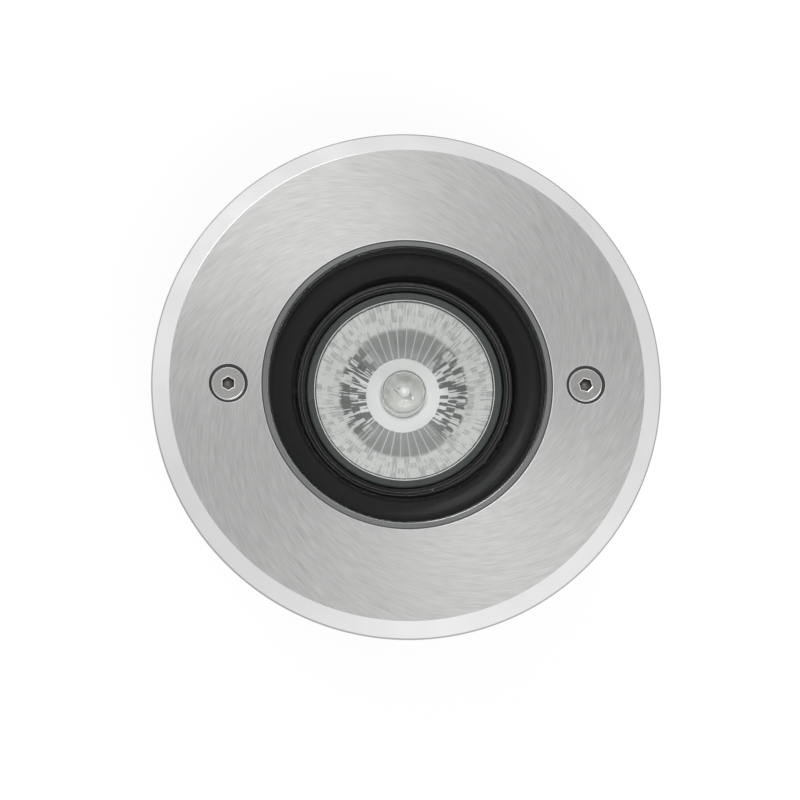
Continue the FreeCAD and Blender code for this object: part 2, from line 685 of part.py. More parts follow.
def holder_contacts():
    """Brass plates on the floor of the two pin chambers."""
    top = LAMP_BASE_BOTTOM - PIN_LENGTH - PART_GAP
    plates = pin_path(PIN_HEAD_R + PIN_PATH_GAP - SEAT_GAP, top - CONTACT_THICKNESS, top)
    return Part.makeCompound([tilted(plate) for plate in plates])


def holder_screws():
    """Two pan-head screws up through the bracket into the holder."""
    seat = HOLDER_BOTTOM - BRACKET_SHEET
    tip = HOLDER_BOTTOM + HOLDER_SCREW_DEPTH - 0.5
    screws = []
    for x in (-HOLDER_SCREW_SPACING / 2, HOLDER_SCREW_SPACING / 2):
        head = disc(HOLDER_SCREW_HEAD_R, seat - HOLDER_SCREW_HEAD_HEIGHT, seat, x)
        screws.append(tilted(head.fuse(disc(HOLDER_SCREW_R, seat, tip, x))))
    return Part.makeCompound(screws)


# ---- lamp ------------------------------------------------------------------------------------
def bowl_z(radius):
    """Height of the parabolic reflecting surface at a radius."""
    rim = LAMP_FRONT - LAMP_COVER_THICKNESS - 0.3
    share = (radius ** 2 - LAMP_NECK_R ** 2) / (LAMP_COVER_R ** 2 - LAMP_NECK_R ** 2)
    return LAMP_NECK_Z + share * (rim - LAMP_NECK_Z)


def facet_bands(sides, low_r, high_r, count):
    """Stacked faceted frustums that follow the parabola between two radii."""
    radii = [low_r + (high_r - low_r) * i / count for i in range(count + 1)]
    bands = []
    for low, high in zip(radii, radii[1:]):
        bands.append(polygon_prism(sides, low, high, bowl_z(low), bowl_z(high)))
    return bands


def reflector_outside():
    """Smooth outside of the bowl: rim, parabola and neck."""
    steps = 8
    radii = [LAMP_NECK_R + (LAMP_COVER_R - LAMP_NECK_R) * i / steps for i in range(steps + 1)]
    curve = [Vector(r + LAMP_BOWL_WALL, 0, bowl_z(r) - LAMP_BOWL_WALL * 0.4) for r in radii]
    rim_bottom = LAMP_FRONT - LAMP_RIM_HEIGHT
    curve = [point for point in curve if point.z < rim_bottom - 0.5]
    spline = Part.BSplineCurve()
    spline.interpolate(curve)
    corners = [
        curve[-1],
        Vector(LAMP_BOWL_R, 0, rim_bottom),
        Vector(LAMP_R, 0, rim_bottom),
        Vector(LAMP_R, 0, LAMP_FRONT - 0.4),
        Vector(LAMP_R - 0.4, 0, LAMP_FRONT),
        Vector(0, 0, LAMP_FRONT),
        Vector(0, 0, curve[0].z),
        curve[0],
    ]
    edges = [spline.toShape()]
    for start, end in zip(corners, corners[1:]):
        edges.append(Part.LineSegment(start, end).toShape())
    return Part.Face(Part.Wire(edges)).revolve(Vector(0, 0, 0), UP, 360)


def lamp_reflector():
    """Glass reflector bowl: fine facets near the rim, coarse ones round the neck."""
    body = reflector_outside()
    cover_seat = LAMP_FRONT - LAMP_COVER_THICKNESS
    tools = facet_bands(LAMP_COARSE_FACETS, LAMP_NECK_R, LAMP_FACET_CHANGE_R, LAMP_COARSE_BANDS)
    rim_r = LAMP_COVER_R - LAMP_COVER_LEDGE
    tools += facet_bands(LAMP_FINE_FACETS, LAMP_FACET_CHANGE_R, rim_r, LAMP_FINE_BANDS)
    tools.append(disc(rim_r, bowl_z(rim_r), cover_seat))
    tools.append(disc(LAMP_COVER_R + SEAT_GAP, cover_seat, LAMP_FRONT))
    tools.append(disc(LAMP_NECK_R, LAMP_NECK_Z - LAMP_BOWL_WALL, LAMP_NECK_Z))
    for tool in tools:
        body = body.cut(tool)
    return tilted(body)


def lamp_cover():
    """Flat front glass set in the reflector's rim."""
    top = LAMP_FRONT - 0.1
    return tilted(disc(LAMP_COVER_R, LAMP_FRONT - LAMP_COVER_THICKNESS, top))


def lamp_base():
    """Ceramic base: a collar round the neck over a narrower plug."""
    collar_bottom = LAMP_NECK_Z - LAMP_BASE_COLLAR_HEIGHT
    collar_top = LAMP_NECK_Z - LAMP_BOWL_WALL
    body = turned([
        (0, LAMP_BASE_BOTTOM),
        (LAMP_BASE_R - 1.0, LAMP_BASE_BOTTOM),
        (LAMP_BASE_R, LAMP_BASE_BOTTOM + 1.0),
        (LAMP_BASE_R, collar_bottom),
        (LAMP_BASE_COLLAR_R, collar_bottom + 1.5),
        (LAMP_BASE_COLLAR_R, collar_top),
        (0, collar_top),
    ])
    return tilted(body)


def capsule_outline(inset):
    """Corners of the capsule's half section, set in by a wall."""
    bottom = LAMP_NECK_Z - LAMP_BOWL_WALL
    radius = CAPSULE_R - inset
    steps = 5
    centre = CAPSULE_TOP - CAPSULE_R
    dome = []
    for i in range(steps):
        angle = math.radians(90.0 * i / steps)
        dome.append((radius * math.cos(angle), centre + radius * math.sin(angle)))
    return bottom, dome, centre + radius


def lamp_capsule():
    """Quartz capsule with its sealed tip, hollow round the filament."""
    bottom, dome, top = capsule_outline(0.0)
    tip = CAPSULE_TIP_R
    outside = [(0, bottom), (CAPSULE_R, bottom)] + dome[:-1]
    outside += [(tip, top - 0.1), (tip * 0.6, top + CAPSULE_TIP_HEIGHT), (0, top + CAPSULE_TIP_HEIGHT)]
    foot = FILAMENT_Z - FILAMENT_LENGTH
    _, inner_dome, inner_top = capsule_outline(CAPSULE_WALL)
    inner_r = CAPSULE_R - CAPSULE_WALL
    inside = [(0, foot), (inner_r, foot)] + inner_dome + [(0, inner_top)]
    return tilted(turned(outside).cut(turned(inside)))


def lamp_filament():
    """Coiled filament across the capsule, drawn as its envelope on two legs."""
    half = FILAMENT_LENGTH / 2
    start = Vector(-half, 0, FILAMENT_Z)
    coil = Part.makeCylinder(FILAMENT_R, FILAMENT_LENGTH, start, Vector(1, 0, 0))
    foot = FILAMENT_Z - FILAMENT_LENGTH
    legs = [disc(FILAMENT_LEG_R, foot, FILAMENT_Z, x) for x in (-half + 0.5, half - 0.5)]
    return tilted(coil.multiFuse(legs))


def lamp_pins():
    """Two headed contact pins under the base."""
    bottom = LAMP_BASE_BOTTOM - PIN_LENGTH
    shank = disc(PIN_R, bottom + PIN_HEAD_HEIGHT, LAMP_BASE_BOTTOM, PIN_SPACING / 2)
    head = disc(PIN_HEAD_R, bottom, bottom + PIN_HEAD_HEIGHT, PIN_SPACING / 2)
    return Part.makeCompound([tilted(pin) for pin in around(shank.fuse(head), 2)])


# ---- terminals --------------------------------------------------------------------------------
def block_ways():
    """Y positions of the terminal block's ways."""
    pitch = BLOCK_WIDTH / BLOCK_WAYS
    return [(i + 0.5) * pitch - BLOCK_WIDTH / 2 for i in range(BLOCK_WAYS)]


def terminal_block():
    """Two-way porcelain block on the housing floor, drilled for wires and their screws."""
    floor = level(HOUSING_FLOOR_TOP_DEPTH)
    top = floor + BLOCK_HEIGHT
    body = block(
        (BLOCK_NEAR_X, BLOCK_NEAR_X + BLOCK_DEPTH),
        (-BLOCK_WIDTH / 2, BLOCK_WIDTH / 2),
        (floor, top),
    )
    middle_x = BLOCK_NEAR_X + BLOCK_DEPTH / 2
    wire_z = floor + BLOCK_HEIGHT / 2
    for y in block_ways():
        start = Vector(BLOCK_NEAR_X, y, wire_z)
        body = body.cut(Part.makeCylinder(BLOCK_WIRE_R, BLOCK_DEPTH, start, Vector(1, 0, 0)))
        body = body.cut(disc(BLOCK_SCREW_R + SEAT_GAP, wire_z, top, middle_x, y))
    return facing_pivots(body)


def terminal_screws():
    """Clamping screws sunk in the block."""
    floor = level(HOUSING_FLOOR_TOP_DEPTH)
    top = floor + BLOCK_HEIGHT - BLOCK_SCREW_SUNK
    bottom = floor + BLOCK_HEIGHT / 2 + LEAD_R
    middle_x = BLOCK_NEAR_X + BLOCK_DEPTH / 2
    screws = []
    for y in block_ways():
        body = disc(BLOCK_SCREW_R, bottom, top, middle_x, y)
        slot = block(
            (middle_x - BLOCK_SCREW_R, middle_x + BLOCK_SCREW_R),
            (y - 0.3, y + 0.3),
            (top - 0.6, top),
        )
        screws.append(facing_pivots(body.cut(slot)))
    return Part.makeCompound(screws)


def earth_screw():
    """Pan-head earth screw in the housing's post."""
    seat = level(HOUSING_FLOOR_TOP_DEPTH) + EARTH_POST_HEIGHT + EARTH_TAG_THICKNESS
    head = disc(EARTH_HEAD_R, seat, seat + EARTH_HEAD_HEIGHT, EARTH_POST_X)
    shank = disc(EARTH_SCREW_R, seat - EARTH_POST_HEIGHT, seat, EARTH_POST_X)
    slot = block(
        (EARTH_POST_X - EARTH_HEAD_R, EARTH_POST_X + EARTH_HEAD_R),
        (-0.4, 0.4),
        (seat + EARTH_HEAD_HEIGHT - 1.0, seat + EARTH_HEAD_HEIGHT),
    )
    return facing_pivots(head.fuse(shank).cut(slot))


def earth_tag():
    """Tinned ring tag clamped under the earth screw."""
    bottom = level(HOUSING_FLOOR_TOP_DEPTH) + EARTH_POST_HEIGHT
    top = bottom + EARTH_TAG_THICKNESS
    eye = disc(EARTH_HEAD_R + 0.3, bottom, top, EARTH_POST_X)
    tongue = block(
        (EARTH_POST_X - 1.6, EARTH_POST_X + 1.6),
        (0, EARTH_TAG_LENGTH),
        (bottom, top),
    )
    hole = disc(EARTH_SCREW_R + SEAT_GAP, bottom, top, EARTH_POST_X)
    return facing_pivots(eye.fuse(tongue).cut(hole))


# ---- cable gland -----------------------------------------------------------------------------
def gland_levels():
    """Heights of the gland's steps: washer top, collar top, collar bottom, neck end."""
    washer_top = level(HOUSING_BOTTOM_DEPTH + FLOOR_PAD_HEIGHT)
    collar_top = washer_top - GLAND_SEAL_RING_THICKNESS
    collar_bottom = collar_top - GLAND_COLLAR_HEIGHT
    return washer_top, collar_top, collar_bottom, collar_bottom - GLAND_NECK_HEIGHT


def gland_body():
    """Gland body: threaded stub through the floor, hexagon collar and lower neck."""
    _, collar_top, collar_bottom, neck_end = gland_levels()
    stub_top = level(HOUSING_FLOOR_TOP_DEPTH) + GLAND_NUT_HEIGHT + GLAND_STUB_PROUD
    body = hexagon(GLAND_COLLAR_FLATS, collar_bottom, collar_top)
    body = body.fuse(disc(GLAND_THREAD_R, collar_top, stub_top))
    body = body.fuse(disc(GLAND_NECK_R, neck_end, collar_bottom))
    seal_top = neck_end + CABLE_SEAL_LENGTH - CABLE_SEAL_PROUD
    body = body.cut(disc(GLAND_BORE_R, neck_end, stub_top))
    return body.cut(disc(CABLE_SEAL_R + SEAT_GAP, neck_end, seal_top))


def gland_lock_nut():
    """Thin hexagon nut inside the housing."""
    bottom = level(HOUSING_FLOOR_TOP_DEPTH)
    nut = hexagon(GLAND_NUT_FLATS, bottom, bottom + GLAND_NUT_HEIGHT)
    return nut.cut(disc(GLAND_THREAD_R + SEAT_GAP, bottom, bottom + GLAND_NUT_HEIGHT))


def gland_washer():
    """Flat rubber washer between the gland's collar and the housing."""
    top, bottom, _, _ = gland_levels()
    return ring(GLAND_THREAD_R + SEAT_GAP, GLAND_COLLAR_FLATS / 2, bottom, top)


def cable_seal():
    """Rubber ring that the cable passes through, with a spigot at each end."""
    bottom = gland_levels()[3] - CABLE_SEAL_PROUD
    top = bottom + CABLE_SEAL_LENGTH
    mouth_nose_r = GLAND_CAP_MOUTH_R - 2 * SEAT_GAP
    bore_nose_r = GLAND_BORE_R - 2 * SEAT_GAP
    return turned([
        (CABLE_SEAL_BORE_R, bottom - CABLE_SEAL_NOSE),
        (mouth_nose_r, bottom - CABLE_SEAL_NOSE),
        (mouth_nose_r, bottom),
        (CABLE_SEAL_R, bottom),
        (CABLE_SEAL_R, top),
        (bore_nose_r, top),
        (bore_nose_r, top + CABLE_SEAL_NOSE),
        (CABLE_SEAL_BORE_R, top + CABLE_SEAL_NOSE),
    ])


def gland_cap():
    """Domed hexagon cap nut that squeezes the seal on the cable."""
    _, _, collar_bottom, neck_end = gland_levels()
    top = collar_bottom - PART_GAP
    bottom = top - GLAND_CAP_HEIGHT
    corner_r = GLAND_COLLAR_FLATS / math.sqrt(3)
    dome = turned([
        (0, bottom),
        (corner_r - GLAND_CAP_DOME, bottom),
        (corner_r, bottom + GLAND_CAP_DOME),
        (corner_r, top),
        (0, top),
    ])
    body = hexagon(GLAND_COLLAR_FLATS, bottom, top).common(dome)
    body = body.cut(disc(GLAND_CAP_MOUTH_R, bottom, top))
    seal_space = neck_end - CABLE_SEAL_PROUD - PART_GAP
    body = body.cut(disc(CABLE_SEAL_R + 2 * SEAT_GAP, seal_space, top))
    return body.cut(disc(GLAND_NECK_R + SEAT_GAP, neck_end - PART_GAP, top))


# ---- sleeve ----------------------------------------------------------------------------------
def sleeve_r(depth):
    """Outer radius of the drafted sleeve at a depth."""
    share = (depth - SLEEVE_TOP_DEPTH) / (TOTAL_HEIGHT - SLEEVE_TOP_DEPTH)
    return SLEEVE_TOP_R - SLEEVE_DRAFT * share


def sleeve_inner_r(depth):
    """Inner radius of the sleeve's wall at a depth."""
    return sleeve_r(depth) - SLEEVE_WALL


def sleeve_shell():
    """Flanged, drafted tube with the ledge that carries the housing and an inturned foot."""
    flange_bottom = SLEEVE_TOP_DEPTH + SLEEVE_FLANGE_THICKNESS
    ledge_bottom = HOUSING_LEDGE_DEPTH + SLEEVE_LEDGE_THICKNESS
    foot_top = TOTAL_HEIGHT - SLEEVE_FOOT_THICKNESS
    return turned_depths([
        (sleeve_inner_r(SLEEVE_TOP_DEPTH), SLEEVE_TOP_DEPTH),
        (SLEEVE_FLANGE_R, SLEEVE_TOP_DEPTH),
        (SLEEVE_FLANGE_R, flange_bottom),
        (sleeve_r(flange_bottom), flange_bottom),
        (sleeve_r(TOTAL_HEIGHT), TOTAL_HEIGHT),
        (SLEEVE_FOOT_R, TOTAL_HEIGHT),
        (SLEEVE_FOOT_R + SLEEVE_EDGE_DRAFT, foot_top),
        (sleeve_inner_r(foot_top), foot_top),
        (sleeve_inner_r(ledge_bottom), ledge_bottom),
        (SLEEVE_LEDGE_R + SLEEVE_EDGE_DRAFT, ledge_bottom),
        (SLEEVE_LEDGE_R, HOUSING_LEDGE_DEPTH),
        (sleeve_inner_r(HOUSING_LEDGE_DEPTH), HOUSING_LEDGE_DEPTH),
    ])


def sleeve_ribs():
    """Upright ribs that key the sleeve into the concrete."""
    start = SLEEVE_TOP_DEPTH + SLEEVE_FLANGE_THICKNESS
    end = SLEEVE_RIB_END_DEPTH
    fin = upright_fin([
        (sleeve_r(start) - ROOT, start),
        (sleeve_r(start) + SLEEVE_RIB_HEIGHT, start),
        (sleeve_r(end) + SLEEVE_RIB_HEIGHT, end - SLEEVE_RIB_HEIGHT),
        (sleeve_r(end) - ROOT, end),
    ], SLEEVE_RIB_WIDTH)
    return around(fin, SLEEVE_RIB_COUNT, 180.0 / SLEEVE_RIB_COUNT)


def cable_arch():
    """Arched opening at the foot, cut out along +Y."""
    spring_z = ARCH_HEIGHT - ARCH_WIDTH / 2
    depth = SLEEVE_TOP_R
    straight = block((-ARCH_WIDTH / 2, ARCH_WIDTH / 2), (SLEEVE_FOOT_R / 2, depth), (-1.0, spring_z))
    start = Vector(0, SLEEVE_FOOT_R / 2, spring_z)
    crown = Part.makeCylinder(ARCH_WIDTH / 2, depth - SLEEVE_FOOT_R / 2, start, Vector(0, 1, 0))
    return straight.fuse(crown)


def installation_sleeve():
    """Plastic ground sleeve with pockets for the screw bosses and arches for the cable."""
    body = sleeve_shell().multiFuse(sleeve_ribs())
    pocket_bottom = level(HOUSING_LEDGE_DEPTH + SLEEVE_LEDGE_THICKNESS)
    tools = around(cable_arch(), ARCH_COUNT)
    for _, x in screw_sides():
        tools.append(disc(BOSS_R + 2 * PART_GAP, pocket_bottom, level(HOUSING_LEDGE_DEPTH), x))
    return body.cut(Part.makeCompound(tools)).removeSplitter()


# ---- the set ---------------------------------------------------------------------------------
def pieces():
    """Every node's name and the function that makes it."""
    made = {
        "installation_sleeve": installation_sleeve,
        "housing_body": housing_body,
        "baffle_dish": baffle_dish,
        "terminal_block": terminal_block,
        "terminal_screws": terminal_screws,
        "earth_screw": earth_screw,
        "earth_tag": earth_tag,
        "gland_body": gland_body,
        "gland_lock_nut": gland_lock_nut,
        "gland_washer": gland_washer,
        "cable_seal": cable_seal,
        "gland_cap": gland_cap,
        "lens_glass": lens_glass,
        "lens_gasket": lens_gasket,
        "trim_ring": trim_ring,
        "screw_washers": screw_washers,
        "gimbal_ring": gimbal_ring,
        "pivot_screws": pivot_screws,
        "lamp_bracket": lamp_bracket,
        "lampholder": lampholder,
        "holder_contacts": holder_contacts,
        "holder_screws": holder_screws,
        "lamp_reflector": lamp_reflector,
        "lamp_cover": lamp_cover,
        "lamp_base": lamp_base,
        "lamp_capsule": lamp_capsule,
        "lamp_filament": lamp_filament,
        "lamp_pins": lamp_pins,
    }
    for side, x in screw_sides():
        made["screw_" + side] = lambda x=x, side=side: trim_screw(x, SCREW_TURN[side])
    return made


def main():
    """Writes one STEP file for each node."""
    os.makedirs("parts", exist_ok=True)
    for name, make in pieces().items():
        shape = make()
        shape.exportStep("parts/" + name + ".step")


main()
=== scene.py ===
"""Looks of the in ground well light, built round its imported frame."""
import json
import logging
import math
import random
from dataclasses import dataclass
from enum import Enum
from typing import Callable, ClassVar, Iterable, Sequence

import bmesh
import bpy
from mathutils import Matrix, Vector


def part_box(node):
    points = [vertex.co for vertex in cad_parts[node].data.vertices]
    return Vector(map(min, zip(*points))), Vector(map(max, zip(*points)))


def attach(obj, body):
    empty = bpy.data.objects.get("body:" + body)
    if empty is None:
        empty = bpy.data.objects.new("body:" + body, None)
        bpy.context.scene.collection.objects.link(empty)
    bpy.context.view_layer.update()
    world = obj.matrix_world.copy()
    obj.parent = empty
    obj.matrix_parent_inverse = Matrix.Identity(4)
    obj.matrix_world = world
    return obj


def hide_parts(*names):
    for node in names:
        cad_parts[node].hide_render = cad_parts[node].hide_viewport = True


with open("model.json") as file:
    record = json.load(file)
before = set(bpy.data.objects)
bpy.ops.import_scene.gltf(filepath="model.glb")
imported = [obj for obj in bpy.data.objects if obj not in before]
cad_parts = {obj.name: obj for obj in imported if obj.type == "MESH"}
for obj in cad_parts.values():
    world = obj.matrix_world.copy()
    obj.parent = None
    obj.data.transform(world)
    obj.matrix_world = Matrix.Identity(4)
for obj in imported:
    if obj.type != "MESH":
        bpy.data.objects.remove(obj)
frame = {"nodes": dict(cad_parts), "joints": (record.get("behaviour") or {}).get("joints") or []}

MM = 0.001
FULL_TURN = 2.0 * math.pi
FACE_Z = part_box("trim_ring")[1][2] / MM
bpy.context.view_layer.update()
BOWL_UV = "bowl"
SHARP_OVER = 24.0
SMOOTH_TO = 40.0
MERGE_GAP = 1e-4
LOG = logging.getLogger("well_light")

Profile = list[tuple[float, float]]
Colour = tuple[float, ...]
Socket = bpy.types.NodeSocket
Node = bpy.types.Node
NodeTree = bpy.types.NodeTree
Material = bpy.types.Material
Face = bmesh.types.BMFace
EdgeLoop = list[bmesh.types.BMEdge]
Feeds = dict[int | str, object]


def under_face(profile: Iterable[tuple[float, float]]) -> Profile:
    """Turns (radius, depth under the trim's face) points into (radius, height) ones."""
    return [(radius, FACE_Z - depth) for radius, depth in profile]


def middle_of(face: Face) -> tuple[float, float]:
    """Distance from the Z axis and height of a face's middle."""
    spot = face.calc_center_median()
    return math.hypot(spot.x, spot.y), spot.z


def leaning(azimuth: float, lean: float) -> Vector:
    """Direction that leans off the vertical by an angle, to the side of an azimuth.

    Args:
        azimuth: The side, in degrees; 0 is towards -Y and 90 towards +X.
        lean: The angle off the vertical, in degrees.

    Returns:
        A vector of length 1.
    """
    turn, tip = math.radians(azimuth), math.radians(lean)
    return Vector((math.sin(turn) * math.sin(tip), -math.cos(turn) * math.sin(tip), math.cos(tip)))


# ---- shader helpers --------------------------------------------------------------------------
class Board:
    """Short ways to add and wire nodes in one node tree."""

    def __init__(self, tree: NodeTree) -> None:
        """Keeps the tree that the nodes go into."""
        self.tree = tree

    def feed(self, node: Node, values: Feeds) -> None:
        """Links a socket, or sets a plain value, on inputs of a node.

        Args:
            node: The node.
            values: A socket or a value for each input, by its name or place.
        """
        for key, value in values.items():
            if isinstance(value, Socket):
                self.tree.links.new(value, node.inputs[key])
            else:
                node.inputs[key].default_value = value

    def node(self, kind: str, values: Feeds | None = None, **settings: object) -> Node:
        """Adds a node.

        Args:
            kind: The node's type name.
            values: What its inputs get, as feed takes it.
            **settings: Values for the node's own properties.

        Returns:
            The new node.
        """
        made = self.tree.nodes.new(kind)
        for name, value in settings.items():
            setattr(made, name, value)
        self.feed(made, values or {})
        return made

    def math(self, operation: str, first: object, second: object = 0.0) -> Socket:
        """Adds a Math node.

        Args:
            operation: The operation's name.
            first: A socket or a number.
            second: A socket or a number.

        Returns:
            The result's socket.
        """
        return self.node("ShaderNodeMath", {0: first, 1: second}, operation=operation).outputs[0]

    def remap(self, value: Socket, low: float, high: float, to_low: float = 0.0, to_high: float = 1.0) -> Socket:
        """Adds a clamped Map Range node.

        Args:
            value: The socket to remap.
            low: The value that becomes to_low.
            high: The value that becomes to_high.
            to_low: The result at low.
            to_high: The result at high.

        Returns:
            The result's socket.
        """
        values = {"Value": value, "From Min": low, "From Max": high, "To Min": to_low, "To Max": to_high}
        return self.node("ShaderNodeMapRange", values, clamp=True).outputs["Result"]

    def mix(self, factor: Socket, first: object, second: object, kind: str = "RGBA") -> Socket:
        """Adds a Mix node.

        Args:
            factor: The share of the second, from 0 to 1.
            first: The colour or number at 0.
            second: The colour or number at 1.
            kind: The node's data type.

        Returns:
            The result's socket.
        """
        values = {"Factor": factor, "A": first, "B": second}
        return self.node("ShaderNodeMix", values, data_type=kind).outputs["Result"]

    def noise(self, vector: Socket, scale: object, detail: float) -> Socket:
        """Adds a Noise Texture and returns its factor."""
        values = {"Vector": vector, "Scale": scale, "Detail": detail}
        return self.node("ShaderNodeTexNoise", values).outputs["Fac"]

    def place(self) -> Socket:
        """The piece's own coordinates."""
        return self.node("ShaderNodeTexCoord").outputs["Object"]

    def bowl_map(self) -> Sequence[Socket]:
        """U and V of the bowl's map."""
        return self.split(self.node("ShaderNodeUVMap", uv_map=BOWL_UV).outputs[0])[:2]

    def split(self, vector: Socket) -> Sequence[Socket]:
        """X, Y and Z of a vector."""
        return self.node("ShaderNodeSeparateXYZ", {0: vector}).outputs[:]

    def join(self, x: Socket, y: Socket, z: object = 0.0) -> Socket:
        """A vector of X, Y and Z."""
        return self.node("ShaderNodeCombineXYZ", {0: x, 1: y, 2: z}).outputs[0]

    def group(self, tree: NodeTree, **values: object) -> bpy.types.NodeOutputs:
        """Places a node group and returns its outputs.

        Args:
            tree: The group's tree.
            **values: Input values by name, with underscores for spaces.

        Returns:
            The group node's outputs.
        """
        named = {name.replace("_", " "): value for name, value in values.items()}
        return self.node("ShaderNodeGroup", named, node_tree=tree).outputs

    def bump(self, shader: Node, height: Socket, strength: float, distance: float) -> None:
        """Gives a shader a Bump normal."""
        values = {"Strength": strength, "Distance": distance, "Height": height}
        self.feed(shader, {"Normal": self.node("ShaderNodeBump", values).outputs[0]})

    def blend(self, output: Node, share: Socket, first: Node, second: Node) -> None:
        """Mixes two shaders into a material's output."""
        mixed = self.node("ShaderNodeMixShader", {0: share, 1: first.outputs[0], 2: second.outputs[0]})
        self.feed(output, {"Surface": mixed.outputs[0]})


def new_group(name: str, inputs: dict[str, float], outputs: Sequence[str]) -> tuple[
    Board, bpy.types.NodeOutputs, Node
]:
    """Starts a shader node group of plain numbers.

    Args:
        name: The group's name.
        inputs: Its inputs with their defaults.
        outputs: Its outputs.

    Returns:
        The group's board, the sockets that bring its inputs, and its output node.
    """
    tree = bpy.data.node_groups.new(name, "ShaderNodeTree")
    kind = "NodeSocketFloat"
    for entry, default in inputs.items():
        tree.interface.new_socket(entry, in_out="INPUT", socket_type=kind).default_value = default
    for entry in outputs:
        tree.interface.new_socket(entry, in_out="OUTPUT", socket_type=kind)
    board = Board(tree)
    return board, board.node("NodeGroupInput").outputs, board.node("NodeGroupOutput")


def new_material(name: str) -> tuple[Material, Board, Node, Node]:
    """Makes a material with its Principled shader.

    Args:
        name: The material's name.

    Returns:
        The material, its board, the shader and the output node.
    """
    material = bpy.data.materials.new(name)
    material.use_nodes = True
    kinds = {node.type: node for node in material.node_tree.nodes}
    return material, Board(material.node_tree), kinds["BSDF_PRINCIPLED"], kinds["OUTPUT_MATERIAL"]


class Effects:
    """The node groups that several finishes share, each built once."""

    def __init__(self) -> None:
        """Builds every shared group."""
        self.swirl = self.build_swirl()
        self.pebble = self.build_pebble()
        self.dust = self.build_dust()
        self.facets = self.build_facet_reflections()

    @staticmethod
    def build_swirl() -> NodeTree:
        """Brush strokes that circle +Z and drift inwards, as on a spun stainless face.

        Returns:
            The group's tree. Its output runs from 0 to 1 across the strokes. Two layers with
            their seams on opposite sides are blended, so that no seam shows.
        """
        inputs = {"Strokes": 150.0, "Length": 7.0, "Drift": 0.36, "Seed": 0.0}
        board, given, result = new_group("spun_brushing", inputs, ["Stroke"])
        x, y, _ = board.split(board.place())
        square = board.math("ADD", board.math("MULTIPLY", x, x), board.math("MULTIPLY", y, y))
        log_r = board.math("MULTIPLY", board.math("LOGARITHM", square, math.e), 0.5)
        angles, layers = [], []
        for side in (1.0, -1.0):
            angle = board.math("ARCTAN2", board.math("MULTIPLY", y, side), board.math("MULTIPLY", x, side))
            across = board.math("ADD", log_r, board.math("MULTIPLY", angle, given["Drift"]))
            spot = board.join(
                board.math("MULTIPLY", across, given["Strokes"]),
                board.math("MULTIPLY", angle, given["Length"]),
                board.math("ADD", given["Seed"], side * 3.0),
            )
            angles.append(angle)
            layers.append(board.noise(spot, 1.0, 3.0))
        share = board.remap(board.math("ABSOLUTE", angles[0]), 0.45 * math.pi, 0.55 * math.pi)
        board.feed(result, {"Stroke": board.mix(share, *layers, kind="FLOAT")})
        return board.tree

    @staticmethod
    def build_pebble() -> NodeTree:
        """Fine even grain of a moulded, cast or powder-coated skin.

        Returns:
            The group's tree, with a height for bump and a slow cloud for colour.
        """
        inputs = {"Scale": 1800.0, "Cloud Scale": 40.0}
        board, given, result = new_group("moulded_grain", inputs, ["Height", "Cloud"])
        place = board.place()
        height, cloud = (board.noise(place, given[name], 2.0) for name in inputs)
        board.feed(result, {"Height": height, "Cloud": cloud})
        return board.tree

    @staticmethod
    def build_dust() -> NodeTree:
        """Sparse pale specks.

        Returns:
            The group's tree, whose mask is 1 on a speck.
        """
        board, given, result = new_group("fine_dust", {"Scale": 500.0, "Amount": 0.05}, ["Mask"])
        values = {"Vector": board.place(), "Scale": given["Scale"]}
        cells = board.node("ShaderNodeTexVoronoi", values, feature="F1").outputs
        pick = board.node("ShaderNodeSeparateColor", {0: cells["Color"]}).outputs[0]
        chosen = board.math("LESS_THAN", pick, given["Amount"])
        speck = board.remap(cells["Distance"], 0.06, 0.2, 1.0, 0.0)
        board.feed(result, {"Mask": board.math("MULTIPLY", chosen, speck)})
        return board.tree

    @staticmethod
    def build_facet_reflections() -> NodeTree:
        """Painted reflections of pressed facets, laid out on the bowl's own UV map.

        Returns:
            The group's tree. U goes once round and V from the neck to the rim. The tone runs
            from 0 on a facet painted as a dim reflection to 1 on one painted bright, and the edge, a painted
            highlight line, is 1 between columns.
        """
        inputs = {"Columns": 72.0, "Rows": 8.0, "Streaks": 220.0}
        board, given, result = new_group("facet_painted_reflections", inputs, ["Tone", "Edge"])
        turn, rise = board.bowl_map()
        u = board.math("MULTIPLY", turn, given["Columns"])
        v = board.math("MULTIPLY", rise, given["Rows"])
        cell = board.join(board.math("FLOOR", u), board.math("FLOOR", v))
        pick = board.node("ShaderNodeTexWhiteNoise", noise_dimensions="2D")
        board.feed(pick, {"Vector": cell})
        streak = board.join(board.math("MULTIPLY", turn, given["Streaks"]), board.math("MULTIPLY", v, 0.45))
        fine = board.remap(board.noise(streak, 1.0, 1.0), 0.35, 0.65)
        # Painted reflection: each facet's tone mixes fine streaks with a random level for the facet.
        tone = board.math("ADD", board.math("MULTIPLY", fine, 0.5), board.math("MULTIPLY", pick.outputs[0], 0.5))
        # Painted highlight: a bright line along the edges between columns.
        off = board.math("ABSOLUTE", board.math("SUBTRACT", board.math("FRACT", u), 0.5))
        board.feed(result, {"Tone": tone, "Edge": board.remap(off, 0.40, 0.48)})
        return board.tree


